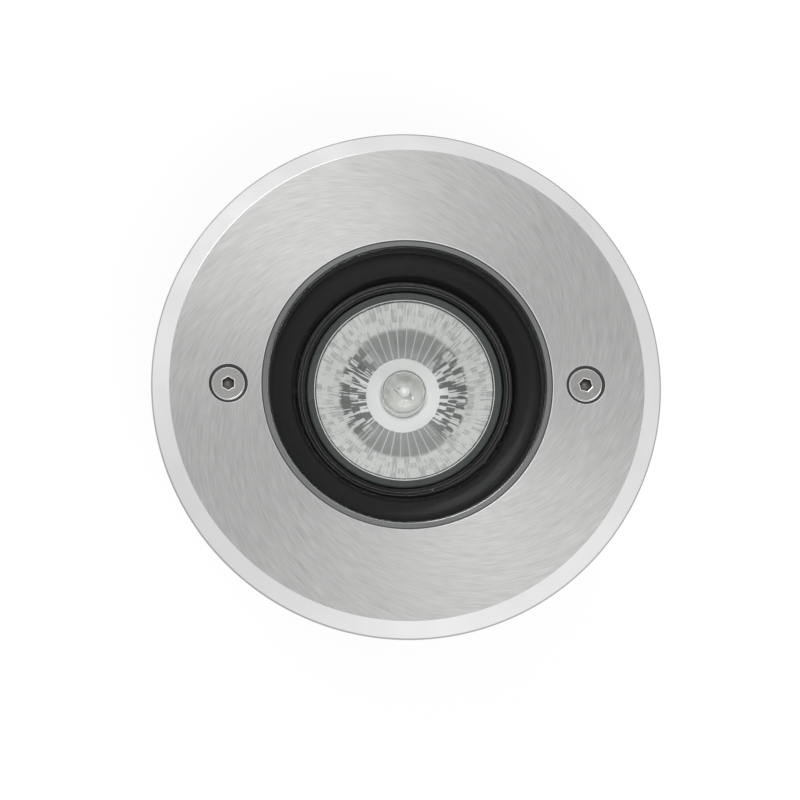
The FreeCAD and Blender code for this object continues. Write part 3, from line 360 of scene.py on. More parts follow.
# ---- finishes --------------------------------------------------------------------------------
@dataclass(frozen=True)
class Finish:
    """A material with plain Principled values and room for a pattern."""

    name: str
    colour: Colour
    roughness: float = 0.5
    metallic: float = 0.0
    specular: float = 0.5

    def tint(self, share: float = 1.0) -> Colour:
        """The colour at a share of its own brightness, with an alpha of 1."""
        return (*(min(1.0, share * value) for value in self.colour), 1.0)

    def start(self) -> tuple[Material, Board, Node, Node]:
        """Makes the material with its Principled shader.

        Returns:
            The material, its board, the shader and the output node.
        """
        material, board, shader, output = new_material(self.name)
        material.diffuse_color = self.tint()
        plain = {"Base Color": self.tint(), "Roughness": self.roughness, "Metallic": self.metallic}
        board.feed(shader, {**plain, "Specular IOR Level": self.specular})
        return material, board, shader, output

    def build(self, effects: Effects) -> Material:
        """Makes the whole material.

        Args:
            effects: The shared node groups.

        Returns:
            The material.
        """
        raise NotImplementedError


@dataclass(frozen=True)
class SpunSteel(Finish):
    """Stainless face brushed in slow spirals round the light's axis.

    A layer of strokes is (strokes across, strokes along, seed).
    """

    metallic: float = 1.0
    anisotropy: float = 0.75
    turn: float = 0.265
    drift: float = -0.32
    fine: tuple[float, float, float] = (135.0, 10.0, 1.0)
    broad: tuple[float, float, float] = (34.0, 3.0, 7.0)
    broad_share: float = 0.3
    dark: float = 0.885
    light: float = 1.105
    gloss_swing: float = 0.04
    bump: float = 0.05
    bump_depth: float = 0.00001

    def build(self, effects: Effects) -> Material:
        """Makes the material. See Finish.build."""
        material, board, shader, _ = self.start()
        fine, broad = (
            board.group(effects.swirl, Strokes=strokes, Length=length, Drift=self.drift, Seed=seed)[0]
            for strokes, length, seed in (self.fine, self.broad)
        )
        fine_part = board.math("MULTIPLY", fine, 1.0 - self.broad_share)
        both = board.math("ADD", fine_part, board.math("MULTIPLY", broad, self.broad_share))
        low, high = self.roughness - self.gloss_swing, self.roughness + self.gloss_swing
        tangent = board.node("ShaderNodeTangent", direction_type="RADIAL", axis="Z")
        values = {
            "Base Color": board.mix(board.remap(both, 0.36, 0.64), self.tint(self.dark), self.tint(self.light)),
            "Roughness": board.remap(fine, 0.25, 0.75, low, high),
            "Anisotropic": self.anisotropy,
            "Anisotropic Rotation": self.turn,
            "Tangent": tangent.outputs[0],
        }
        board.feed(shader, values)
        board.bump(shader, both, self.bump, self.bump_depth)
        return material


@dataclass(frozen=True)
class GrainedSkin(Finish):
    """Moulded plastic, rubber, ceramic or powder coat with fine grain and a little dust."""

    grain_scale: float = 1800.0
    bump: float = 0.25
    bump_depth: float = 0.00006
    cloud: float = 45.0
    cloud_low: float = 0.3
    dark: float = 0.82
    gloss_swing: float = 0.05
    least_roughness: float = 0.02
    dust: float = 0.0
    dust_scale: float = 420.0
    dust_cover: float = 0.6
    dust_colour: Colour = (0.55, 0.54, 0.52, 1.0)

    def build(self, effects: Effects) -> Material:
        """Makes the material. See Finish.build."""
        material, board, shader, _ = self.start()
        skin = board.group(effects.pebble, Scale=self.grain_scale, Cloud_Scale=self.cloud)
        share = board.remap(skin["Cloud"], self.cloud_low, 1.0 - self.cloud_low)
        shade = board.mix(share, self.tint(self.dark), self.tint())
        if self.dust:
            mask = board.group(effects.dust, Scale=self.dust_scale, Amount=self.dust)[0]
            shade = board.mix(board.math("MULTIPLY", mask, self.dust_cover), shade, self.dust_colour)
        low = max(self.least_roughness, self.roughness - self.gloss_swing)
        rough = board.remap(skin["Cloud"], 0.3, 0.7, low, self.roughness + self.gloss_swing)
        board.feed(shader, {"Base Color": shade, "Roughness": rough})
        if self.bump:
            board.bump(shader, skin["Height"], self.bump, self.bump_depth)
        return material


@dataclass(frozen=True)
class CleanMetal(GrainedSkin):
    """Turned, plated or polished metal with a faint cloud in its gloss."""

    metallic: float = 1.0
    grain_scale: float = 2600.0
    bump: float = 0.0
    bump_depth: float = 0.00004
    cloud: float = 60.0
    cloud_low: float = 0.35
    dark: float = 0.94


@dataclass(frozen=True)
class FacetMirror(Finish):
    """Mirror coat on pressed glass: fine facets outside, coarse ones round the neck. Its colour carries painted
    reflections: lighter and darker facets, bright facet edges, and glint bars brightest on one side.

    A layout of facets is (columns, rows, streaks), and change is where the zones meet.
    """

    fine: tuple[float, float, float] = (72.0, 9.0, 340.0)
    coarse: tuple[float, float, float] = (72.0, 6.0, 144.0)
    grid: tuple[float, float, float] = (40.0, 5.0, 144.0)
    change: float = 0.523
    # Levels of the painted reflections, as shares of the coat's colour.
    dull: float = 0.66
    dull_side: float = 0.20
    calm_reflection_level: float = 0.42
    edge_line_glint: float = 0.85
    lit_side_turn: float = 30.0

    def build(self, effects: Effects) -> Material:
        """Makes the material. See Finish.build."""
        material, board, shader, _ = self.start()
        fine, coarse, grid = (
            board.group(effects.facets, Columns=columns, Rows=rows, Streaks=streaks)
            for columns, rows, streaks in (self.fine, self.coarse, self.grid)
        )
        u, v = board.bowl_map()
        # Painted lit side: the coarse zone shows bright glint bars along one axis, set by the turn, and calm
        # lines across it.
        turn = board.math("SUBTRACT", board.math("MULTIPLY", u, FULL_TURN), math.radians(self.lit_side_turn))
        side = board.remap(board.math("ABSOLUTE", board.math("COSINE", turn)), 0.55, 0.85)
        # Painted reflections: facets between the dim and full levels, then bright painted lines at their edges.
        outer = board.mix(board.remap(fine["Tone"], 0.25, 0.55), self.tint(self.dull), self.tint())
        outer = board.mix(fine["Edge"], outer, self.tint())
        bars = board.mix(board.remap(coarse["Tone"], 0.46, 0.58), self.tint(self.dull_side), self.tint())
        calm = board.mix(grid["Edge"], self.tint(self.calm_reflection_level), self.tint(self.edge_line_glint))
        inner = board.mix(side, calm, bars)
        zone = board.remap(v, self.change - 0.02, self.change + 0.05)
        board.feed(shader, {"Base Color": board.mix(zone, inner, outer)})
        return material


@dataclass(frozen=True)
class ClearGlass(Finish):
    """Clear glass that lets lamp light through to what is behind it."""

    roughness: float = 0.0
    ior: float = 1.5
    smear: float = 0.015
    passes_mirrored: bool = True
    passed_tint: Colour = (0.995, 0.998, 0.997, 1.0)

    def build(self, effects: Effects) -> Material:
        """Makes the material. See Finish.build."""
        material, board, shader, output = self.start()
        cloud = board.group(effects.pebble, Scale=900.0, Cloud_Scale=30.0)["Cloud"]
        smeared = board.remap(cloud, 0.45, 0.75, 0.0, self.smear)
        board.feed(shader, {"Transmission Weight": 1.0, "IOR": self.ior, "Roughness": smeared})
        path = board.node("ShaderNodeLightPath").outputs
        passed = board.node("ShaderNodeBsdfTransparent", {0: self.passed_tint})
        soft = board.math("MAXIMUM", path["Is Shadow Ray"], path["Is Diffuse Ray"])
        if self.passes_mirrored:
            soft = board.math("MAXIMUM", soft, path["Is Reflection Ray"])
        board.blend(output, soft, shader, passed)
        return material


class Look(Enum):
    """Every finish of the light."""

    BRUSHED = SpunSteel("brushed_stainless", (0.512, 0.512, 0.504), 0.44)
    POLISHED = CleanMetal("polished_stainless", (0.84, 0.84, 0.83), 0.14)
    SCREW = CleanMetal("screw_stainless", (0.33, 0.33, 0.322), 0.40, bump=1.0, cloud=900.0)
    # Darker steel painted on the trim's outer edge band as a painted shadow line.
    PAINTED_EDGE_SHADOW = CleanMetal("outer_edge_painted_shadow", (0.46, 0.46, 0.455), 0.30)
    # Darker, browner steel painted inside the hexagon sockets as painted shade.
    PAINTED_SOCKET_SHADE = CleanMetal("socket_wall_painted_shade", (0.20, 0.185, 0.175), 0.45)
    # Near-black steel painted in the countersinks as painted shade.
    PAINTED_SINK_SHADE = CleanMetal("countersink", (0.10, 0.10, 0.10), 0.40)
    ZINC = CleanMetal("zinc_sheet", (0.62, 0.63, 0.64), 0.32, cloud=180.0)
    BRASS = CleanMetal("bright_brass", (0.78, 0.57, 0.27), 0.24)
    NICKEL = CleanMetal("nickel_plate", (0.70, 0.68, 0.62), 0.18)
    TIN = CleanMetal("tinned_metal", (0.74, 0.74, 0.73), 0.28)
    # Mirror coat with painted reflections and highlights in its colour.
    MIRROR = FacetMirror("reflector_coat_painted_reflections", (0.98, 0.985, 0.98), 0.20, metallic=0.45)
    GLINT = CleanMetal("coated_ledge", (0.97, 0.97, 0.97), 0.35)
    TUNGSTEN = CleanMetal("tungsten_wire", (0.88, 0.88, 0.88), 0.35)
    GLASS = ClearGlass("toughened_glass", (0.995, 1.0, 0.997))
    QUARTZ = ClearGlass("quartz_glass", (0.995, 0.995, 0.995), ior=1.28, passes_mirrored=False)
    RIM_GLASS = GrainedSkin("moulded_rim_glass", (0.040, 0.046, 0.044), 0.28, specular=0.35, bump=0.05)
    # Milky quartz on the capsule's tip; on its shoulder ring the same white is a painted highlight.
    MILKY_TIP_AND_HIGHLIGHT = GrainedSkin("milky_tip_and_painted_highlight", (0.92, 0.93, 0.92), 0.35, bump=0.1)
    # Pale grey painted on the gimbal ring's ridge edges as painted highlights.
    RIDGE_HIGHLIGHT = GrainedSkin("ridge_painted_highlight", (0.12, 0.12, 0.122), 0.35, bump=0.1)
    # Silicone lifted to grey: on the gasket's bead it is the lit copy of one silicone, painted light; the gland
    # washer and seal share it.
    RUBBER = GrainedSkin("silicone_lit_grey", (0.12, 0.122, 0.124), 0.32, bump=0.08, dust=0.015)
    # The same silicone in black, painted as the gasket's shaded copy below its bead.
    RUBBER_PAINTED_SHADE = GrainedSkin("silicone_painted_shade", (0.012, 0.012, 0.0125), 0.42, specular=0.3, bump=0.08)
    STEP = GrainedSkin("gloss_black", (0.005, 0.005, 0.0052), 0.16, specular=0.35, bump=0.05, dust=0.02)
    BAFFLE = GrainedSkin("satin_black", (0.004, 0.004, 0.0042), 0.24, specular=0.20, bump=0.08)
    CASTING = GrainedSkin("powder_coat", (0.035, 0.035, 0.037), 0.48, bump=0.5, grain_scale=1500.0)
    SLEEVE = GrainedSkin("black_plastic", (0.028, 0.028, 0.029), 0.44, bump=0.3, grain_scale=1200.0)
    NYLON = GrainedSkin("natural_nylon", (0.74, 0.72, 0.66), 0.45, bump=0.1)
    CEMENT = GrainedSkin("white_cement", (0.93, 0.93, 0.92), 0.5, bump=0.6, grain_scale=700.0)
    CERAMIC = GrainedSkin("fired_steatite", (0.84, 0.83, 0.79), 0.38, bump=0.3, grain_scale=1100.0)


class Dresser:
    """Builds each finish once and hands it out."""

    def __init__(self) -> None:
        """Builds the shared effects."""
        self.effects = Effects()
        self.made: dict[Look, Material] = {}

    def material(self, look: Look) -> Material:
        """The material of a look."""
        if look not in self.made:
            self.made[look] = look.value.build(self.effects)
        return self.made[look]

    def dress(self, node: str, look: Look) -> None:
        """Gives a CAD node its finish.

        Args:
            node: The node's name.
            look: Its finish.
        """
        piece = frame["nodes"][node]
        piece.data.materials.clear()
        piece.data.materials.append(self.material(look))
        LOG.info("dressed %s in %s", node, look.value.name)


# ---- mesh helpers ----------------------------------------------------------------------------
class Shape:
    """A mesh in the making, in millimetres until it becomes a piece."""

    def __init__(self) -> None:
        """Starts an empty mesh."""
        self.bm = bmesh.new()

    def ring(self, radius: float, z: float, segments: int, x: float = 0.0) -> EdgeLoop:
        """Adds an open circle of edges.

        Args:
            radius: The circle's radius.
            z: Its height.
            segments: How many edges it has.
            x: Its centre's X.

        Returns:
            Its edges.
        """
        centre = Matrix.Translation((x, 0.0, z))
        made = bmesh.ops.create_circle(self.bm, cap_ends=False, segments=segments, radius=radius, matrix=centre)
        return list({edge for vert in made["verts"] for edge in vert.link_edges})

    def bridge(self, rings: Sequence[EdgeLoop]) -> None:
        """Spans the gaps between circles that follow each other."""
        for low, high in zip(rings, rings[1:]):
            bmesh.ops.bridge_loops(self.bm, edges=low + high)

    def tube(self, profile: Profile, segments: int, x: float = 0.0) -> list[EdgeLoop]:
        """Bridges circles that follow (radius, height) points.

        Args:
            profile: The points.
            segments: Edges round each circle.
            x: The circles' centre X.

        Returns:
            Each circle's edges.
        """
        rings = [self.ring(radius, z, segments, x) for radius, z in profile]
        self.bridge(rings)
        return rings

    def plate(self, loops: Iterable[EdgeLoop]) -> None:
        """Fills the flat space between loops of edges."""
        edges = [edge for loop in loops for edge in loop]
        bmesh.ops.triangle_fill(self.bm, use_beauty=True, edges=edges)

    def lathe(self, profile: Profile, segments: int) -> None:
        """Spins a closed half section round Z and cleans the result.

        Args:
            profile: The (radius, height) points of the half section.
            segments: Steps round the axis.
        """
        verts = [self.bm.verts.new((radius, 0.0, z)) for radius, z in profile]
        edges = [self.bm.edges.new(pair) for pair in zip(verts, verts[1:] + verts[:1])]
        bmesh.ops.spin(
            self.bm,
            geom=verts + edges,
            cent=(0.0, 0.0, 0.0),
            axis=(0.0, 0.0, 1.0),
            dvec=(0.0, 0.0, 0.0),
            angle=FULL_TURN,
            steps=segments,
            use_merge=True,
            use_duplicate=False,
        )
        self.close()

    def close(self) -> None:
        """Merges doubles and points every face outwards."""
        bmesh.ops.remove_doubles(self.bm, verts=self.bm.verts[:], dist=MERGE_GAP)
        bmesh.ops.dissolve_degenerate(self.bm, edges=self.bm.edges[:], dist=0.1 * MERGE_GAP)
        bmesh.ops.recalc_face_normals(self.bm, faces=self.bm.faces[:])

    def soften(self, width: float, segments: int = 3) -> None:
        """Rounds every sharp edge.

        Args:
            width: The rounding's width.
            segments: Its steps.
        """
        limit = math.radians(SHARP_OVER)
        joined = [edge for edge in self.bm.edges if len(edge.link_faces) == 2]
        bmesh.ops.bevel(
            self.bm,
            geom=[edge for edge in joined if edge.calc_face_angle(0.0) > limit],
            offset=width,
            offset_type="OFFSET",
            affect="EDGES",
            segments=segments,
            profile=0.5,
            material=-1,
            clamp_overlap=True,
        )

    def place(self, matrix: Matrix) -> None:
        """Moves the whole mesh."""
        bmesh.ops.transform(self.bm, matrix=matrix, verts=self.bm.verts[:])

    def paint(self, index: int, chosen: Callable[[Face], bool]) -> None:
        """Gives a material index to the faces that a test picks."""
        for face in self.bm.faces:
            if chosen(face):
                face.material_index = index

    def piece(self, name: str, smooth_to: float) -> bpy.types.Object:
        """Turns the mesh into an object at the origin, in metres.

        Args:
            name: The object's name.
            smooth_to: Edges over this angle, in degrees, stay sharp.

        Returns:
            The object.
        """
        bmesh.ops.scale(self.bm, vec=(MM, MM, MM), verts=self.bm.verts[:])
        for face in self.bm.faces:
            face.smooth = True
        mesh = bpy.data.meshes.new(name)
        self.bm.to_mesh(mesh)
        self.bm.free()
        mesh.set_sharp_from_angle(angle=math.radians(smooth_to))
        made = bpy.data.objects.new(name, mesh)
        bpy.context.scene.collection.objects.link(made)
        weigh = made.modifiers.new("flat_faces_first", "WEIGHTED_NORMAL")
        weigh.keep_sharp = True
        weigh.weight = 60
        graph = bpy.context.evaluated_depsgraph_get()
        made.data = bpy.data.meshes.new_from_object(made.evaluated_get(graph))
        made.modifiers.clear()
        bpy.data.meshes.remove(mesh)
        made.data.name = name
        return made


@dataclass
class Assembly:
    """What every sub-assembly shares: a wardrobe and a way to hand over a piece."""

    dresser: Dresser
    cad_looks: ClassVar[dict[str, Look]] = {}

    def hand_over(
        self, shape: Shape, name: str, looks: Sequence[Look], slot: str, body: str, smooth_to: float = SMOOTH_TO
    ) -> None:
        """Turns a shape into a dressed piece and ties it to the frame.

        Args:
            shape: The finished mesh.
            name: The CAD node that it replaces, or a new piece's own name.
            looks: One finish for each material index.
            slot: The record's material slot; not used.
            body: The CAD body it rides on.
            smooth_to: Edges over this angle, in degrees, stay sharp.
        """
        replaced = name in frame["nodes"]
        piece = shape.piece(name + "_detailed" if replaced else name, smooth_to)
        for look in looks:
            piece.data.materials.append(self.dresser.material(look))
        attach(piece, body)
        if replaced:
            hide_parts(name)
        LOG.info("made %s on %s", piece.name, body)

    def make(self) -> None:
        """Makes the pieces that need finer meshes than the CAD has."""

    def build(self) -> None:
        """Makes the sub-assembly's own pieces and dresses its CAD nodes."""
        self.make()
        for node, look in self.cad_looks.items():
            self.dresser.dress(node, look)


# ---- trim ------------------------------------------------------------------------------------
@dataclass
class TrimAssembly(Assembly):
    """Stainless trim ring, its two socket screws and their captive washers."""

    radius: float = 65.0
    thickness: float = 3.0
    bevel_width: float = 4.5
    edge_height: float = 0.6
    # Width of the outer edge band that is painted as a shadow line.
    shadow_band_width: float = 0.35
    land_r: float = 59.0
    land_height: float = 0.3
    opening_r: float = 37.0
    opening_chamfer: float = 0.3
    outside_segments: int = 288
    opening_segments: int = 240
    edge_rounding: float = 0.10
    screw_x: float = 45.5
    screw_segments: int = 72
    sink_r: float = 5.05
    hole_r: float = 2.75
    head_r: float = 4.35
    head_rim: float = 0.25
    head_sunk: float = 0.35
    shank_r: float = 2.5
    plain_length: float = 1.0
    screw_length: float = 16.0
    thread_pitch: float = 0.8
    thread_depth: float = 0.45
    hex_flats: float = 3.0
    hex_depth: float = 1.7
    hex_point: float = 0.45
    right_hex_turn: float = 16.5
    cad_looks: ClassVar[dict[str, Look]] = {"screw_washers": Look.NYLON}

    def ring(self) -> None:
        """The ring: brushed flat face, polished bevel and countersunk holes, with painted shade in the
        countersinks and a painted shadow line round the outer edge.
        """
        shape = Shape()
        drop = self.thickness - self.edge_height
        land = self.thickness + self.land_height
        outer = [
            (self.radius - self.bevel_width, 0.0),
            (self.radius - self.shadow_band_width, drop * (1.0 - self.shadow_band_width / self.bevel_width)),
            (self.radius, drop),
            (self.radius, land),
            (self.land_r, land),
            (self.land_r, self.thickness),
        ]
        inner = [
            (self.opening_r + self.opening_chamfer, 0.0),
            (self.opening_r, self.opening_chamfer),
            (self.opening_r, self.thickness),
        ]
        sink = [(self.sink_r, 0.0), (self.hole_r, self.sink_r - self.hole_r), (self.hole_r, self.thickness)]
        tubes = [
            shape.tube(under_face(outer), self.outside_segments),
            shape.tube(under_face(inner), self.opening_segments),
            *(shape.tube(under_face(sink), self.screw_segments, x) for x in (-self.screw_x, self.screw_x)),
        ]
        shape.plate([tube[0] for tube in tubes])
        shape.plate([tube[-1] for tube in tubes])
        shape.close()
        shape.soften(self.edge_rounding, 2)
        flat = FACE_Z - 0.02
        shape.paint(1, lambda face: middle_of(face)[1] < flat)
        # Painted shade: the countersinks and holes take near-black steel.
        shape.paint(2, self.in_countersink)
        # Painted shadow: the outer edge band takes a darker steel for the thin dark line round the ring.
        shape.paint(3, lambda face: middle_of(face)[0] > self.radius - self.shadow_band_width)
        looks = (Look.BRUSHED, Look.POLISHED, Look.PAINTED_SINK_SHADE, Look.PAINTED_EDGE_SHADOW)
        self.hand_over(shape, "trim_ring", looks, "steel_trim", "trim")

    def in_countersink(self, face: Face) -> bool:
        """Whether a face lies in a screw's countersink or hole."""
        spot = face.calc_center_median()
        near = min(math.hypot(spot.x - x, spot.y) for x in (-self.screw_x, self.screw_x))
        return near < self.sink_r - 0.06 and spot.z < FACE_Z - 0.1

    def screw(self, side: str, x: float, hex_turn: float) -> None:
        """One countersunk screw with its hexagon socket.

        Args:
            side: left or right.
            x: The screw's X.
            hex_turn: How far its socket is turned, in degrees.
        """
        shape = Shape()
        top = FACE_Z - self.head_sunk
        neck = top - self.head_rim - (self.head_r - self.shank_r)
        head = [
            (self.head_r - 0.42, top - 0.03),
            (self.head_r - 0.34, top),
            (self.head_r - 0.20, top),
            (self.head_r, top - 0.14),
            (self.head_r, top - self.head_rim),
            (self.shank_r, neck),
            (self.shank_r, neck - self.plain_length),
        ]
        rings = shape.tube(head, self.screw_segments)
        shank = self.thread(shape, neck - self.plain_length, top - self.screw_length)
        shape.bridge([rings[-1], shank[0]])
        corner = self.hex_flats / math.sqrt(3.0)
        heights = ((corner + 0.22, top - 0.03), (corner, top - 0.12), (corner, top - self.hex_depth))
        socket = [shape.ring(radius, z, 6) for radius, z in heights]
        verts = {vert for loop in socket for edge in loop for vert in edge.verts}
        spin = Matrix.Rotation(math.radians(hex_turn), 4, "Z")
        bmesh.ops.transform(shape.bm, matrix=spin, verts=list(verts))
        shape.bridge(socket)
        shape.plate([rings[0], socket[0]])
        well = bmesh.ops.edgenet_fill(shape.bm, edges=socket[-1])["faces"]
        bmesh.ops.poke(shape.bm, faces=well, offset=-self.hex_point)
        shape.close()
        shape.paint(1, lambda face: self.on_bright_edge(face, top, corner))
        # Painted shade: the socket's walls and floor take the darker steel.
        shape.paint(2, lambda face: self.in_socket(face, top, corner))
        shape.place(Matrix.Translation((x, 0.0, 0.0)))
        looks = (Look.SCREW, Look.POLISHED, Look.PAINTED_SOCKET_SHADE)
        self.hand_over(shape, "screw_" + side, looks, "steel_screw", side + "_screw", 14.0)

    def on_bright_edge(self, face: Face, top: float, corner: float) -> bool:
        """Whether a face is the head's turned rim or the socket's chamfer.

        Args:
            face: The face, with the screw still on the axis.
            top: The head's height.
            corner: The socket's corner radius.

        Returns:
            True on either of them.
        """
        radius, z = middle_of(face)
        on_rim = radius > self.head_r - 0.41 and z > top - 0.11
        return on_rim or (radius < corner + 0.12 and top - 0.10 < z < top - 0.04)

    @staticmethod
    def in_socket(face: Face, top: float, corner: float) -> bool:
        """Whether a face is a wall or the floor of the hexagon socket."""
        radius, z = middle_of(face)
        return radius < corner and top - 3.0 < z < top - 0.13

    def thread(self, shape: Shape, start: float, end: float) -> list[EdgeLoop]:
        """A grooved shank, closed at its tip.

        Args:
            shape: The mesh that takes it.
            start: The height of its first groove.
            end: The tip's height.

        Returns:
            The circles' edges, first to last.
        """
        radius, root = self.shank_r, self.shank_r - self.thread_depth
        profile = [(radius, start)]
        for i in range(int((start - end - self.plain_length) / self.thread_pitch)):
            z = start - i * self.thread_pitch
            profile += [(radius, z - 0.1), (root, z - self.thread_depth), (radius, z - 0.75)]
        profile += [(radius - 0.1, end + 0.55), (radius - 0.6, end)]
        rings = shape.tube(profile, self.screw_segments)
        shape.plate([rings[-1]])
        return rings

    def make(self) -> None:
        """Makes the ring and both screws."""
        self.ring()
        self.screw("left", -self.screw_x, 0.0)
        self.screw("right", self.screw_x, self.right_hex_turn)


# ---- lens ------------------------------------------------------------------------------------
@dataclass
class LensAssembly(Assembly):
    """Stepped glass and the silicone gasket round it; heights are depths under the face."""

    segments: int = 240
    glass_r: float = 35.5
    flange_r: float = 38.6
    glass_top: float = 0.8
    step: float = 4.2
    glass_bottom: float = 7.2
    clearance: float = 0.1
    bead_r: float = 36.9
    bead_top: float = 0.4
    wall_r: float = 40.3
    wall_top: float = 3.0
    lip_r: float = 34.6
    gasket_bottom: float = 8.4
    # Depth under which the gasket takes the black shaded copy of its silicone.
    shade_paint_depth: float = 1.1

    def glass(self) -> None:
        """The stepped glass with ground edges."""
        shape = Shape()
        section = [
            (0.0, self.glass_top),
            (self.glass_r, self.glass_top),
            (self.glass_r, self.step),
            (self.flange_r, self.step),
            (self.flange_r, self.glass_bottom),
            (0.0, self.glass_bottom),
        ]
        shape.lathe(under_face(section), self.segments)
        shape.soften(0.35)
        self.hand_over(shape, "lens_glass", (Look.GLASS,), "glass_clear", "lens")

    def gasket(self) -> None:
        """The gasket: wrapped wall, two lips and the rounded bead."""
        shape = Shape()
        section = [
            (self.glass_r + self.clearance, self.bead_top),
            (self.bead_r, self.bead_top),
            (self.bead_r, self.wall_top),
            (self.wall_r, self.wall_top),
            (self.wall_r, self.gasket_bottom),
            (self.lip_r, self.gasket_bottom),
            (self.lip_r, self.glass_bottom),
            (self.flange_r + self.clearance, self.glass_bottom),
            (self.flange_r + self.clearance, self.step),
            (self.glass_r + self.clearance, self.step),
        ]
        shape.lathe(under_face(section), self.segments)
        shape.soften(0.22)
        # Painted light and shade: the bead keeps the lighter lit copy of the silicone, deeper faces take the
        # black shaded copy.
        shape.paint(1, lambda face: middle_of(face)[1] < FACE_Z - self.shade_paint_depth)
        self.hand_over(shape, "lens_gasket", (Look.RUBBER, Look.RUBBER_PAINTED_SHADE), "silicone", "lens")

    def make(self) -> None:
        """Makes both pieces."""
        self.glass()
        self.gasket()


# ---- gimbal and lamp -------------------------------------------------------------------------
@dataclass
class Tilted(Assembly):
    """A sub-assembly drawn upright on the pivots and leaned into place."""

    def lean(self) -> Matrix:
        """The matrix from the gimbal's own frame to the light's, in millimetres."""
        joints = {joint["name"]: joint for joint in frame["joints"]}
        pivot = Vector(joints["gimbal_tilt"]["pos_m"]) / MM
        along = Vector(joints["gimbal_tilt"]["axis"]).normalized()
        up = Vector(joints["lamp_twist"]["axis"]).normalized()
        side = up.cross(along).normalized()
        turn = Matrix((along, side, up)).transposed().to_4x4()
        return Matrix.Translation(pivot) @ turn

    def hand_over(
        self, shape: Shape, name: str, looks: Sequence[Look], slot: str, body: str, smooth_to: float = SMOOTH_TO
    ) -> None:
        """Leans a shape into place first. See Assembly.hand_over."""
        shape.place(self.lean())
        super().hand_over(shape, name, looks, slot, body, smooth_to)


@dataclass
class GimbalAssembly(Tilted):
    """The ring that tilts round the lamp, with its bracket and lampholder."""

    outer_r: float = 27.6
    opening_r: float = 25.4
    top: float = 1.6
    bottom: float = -1.5
    segments: int = 216
    rounding: float = 0.12
    outer_ridge: float = 0.5
    inner_ridge: float = 1.25
    cad_looks: ClassVar[dict[str, Look]] = {
        "pivot_screws": Look.BAFFLE,
        "lamp_bracket": Look.ZINC,
        "lampholder": Look.CERAMIC,
        "holder_contacts": Look.BRASS,
        "holder_screws": Look.ZINC,
    }

    def make(self) -> None:
        """The stepped ring round the lamp's rim, with pale painted highlights on its ridge edges."""
        shape = Shape()
        section = [
            (self.opening_r, self.bottom),
            (self.outer_r, self.bottom),
            (self.outer_r, self.top - 0.7),
            (self.outer_r - self.outer_ridge, self.top - 0.7),
            (self.outer_r - self.outer_ridge, self.top - 0.2),
            (self.outer_r - 0.95, self.top - 0.2),
            (self.outer_r - 0.95, self.top - 0.5),
            (self.outer_r - self.inner_ridge, self.top - 0.5),
            (self.outer_r - self.inner_ridge, self.top),
            (self.opening_r, self.top),
        ]
        shape.lathe(section, self.segments)
        shape.soften(self.rounding)
        # Painted highlight: the rounded ridge edges take a paler grey.
        shape.paint(1, self.on_ridge)
        self.hand_over(shape, "gimbal_ring", (Look.STEP, Look.RIDGE_HIGHLIGHT), "baffle_black", "gimbal")

    def on_ridge(self, face: Face) -> bool:
        """Whether a face rounds one of the step's upper edges."""
        radius, z = middle_of(face)
        gaps = (self.outer_r - ridge - radius for ridge in (self.outer_ridge, self.inner_ridge))
        return z > self.top - 0.4 and any(0.0 < gap < self.rounding + 0.01 for gap in gaps)


@dataclass(frozen=True)
class FacetZone:
    """One zone of the reflector's facets between two radii."""

    columns: int
    rows: int
    low_r: float
    high_r: float
    crown: float
    ridge: float

    def stations(self, steps: int) -> list[float]:
        """Radii of the mesh's circles in this zone, without the last.

        Args:
            steps: Circles in each row of facets.

        Returns:
            The radii, rising.
        """
        count = self.rows * steps
        return [self.low_r + (self.high_r - self.low_r) * i / count for i in range(count)]

    def shaped(self, turn: float, radius: float, seed: int) -> tuple[float, float]:
        """Where a point of the smooth bowl goes on its facet.

        Args:
            turn: The point's angle, in radians.
            radius: Its radius.
            seed: Picks the facets' small differences.

        Returns:
            The facet's radius there, and its bulge out of the flat.
        """
        half = math.pi / self.columns
        column, across = divmod(turn % FULL_TURN / (2.0 * half) + 1e-6, 1.0)
        row, along = divmod((radius - self.low_r) / (self.high_r - self.low_r) * self.rows + 1e-6, 1.0)
        pick = random.Random(seed + 1009 * int(column % self.columns) + 9176 * int(row))
        height = self.crown * pick.uniform(0.5, 1.3)
        skew = pick.uniform(0.75, 1.3)
        bulge = height * math.sin(math.pi * across**skew) * (1.0 - self.ridge * abs(2.0 * along - 1.0) ** 3)
        flat_r = radius * math.cos(half) / math.cos((across - 0.5) * 2.0 * half)
        return flat_r, bulge


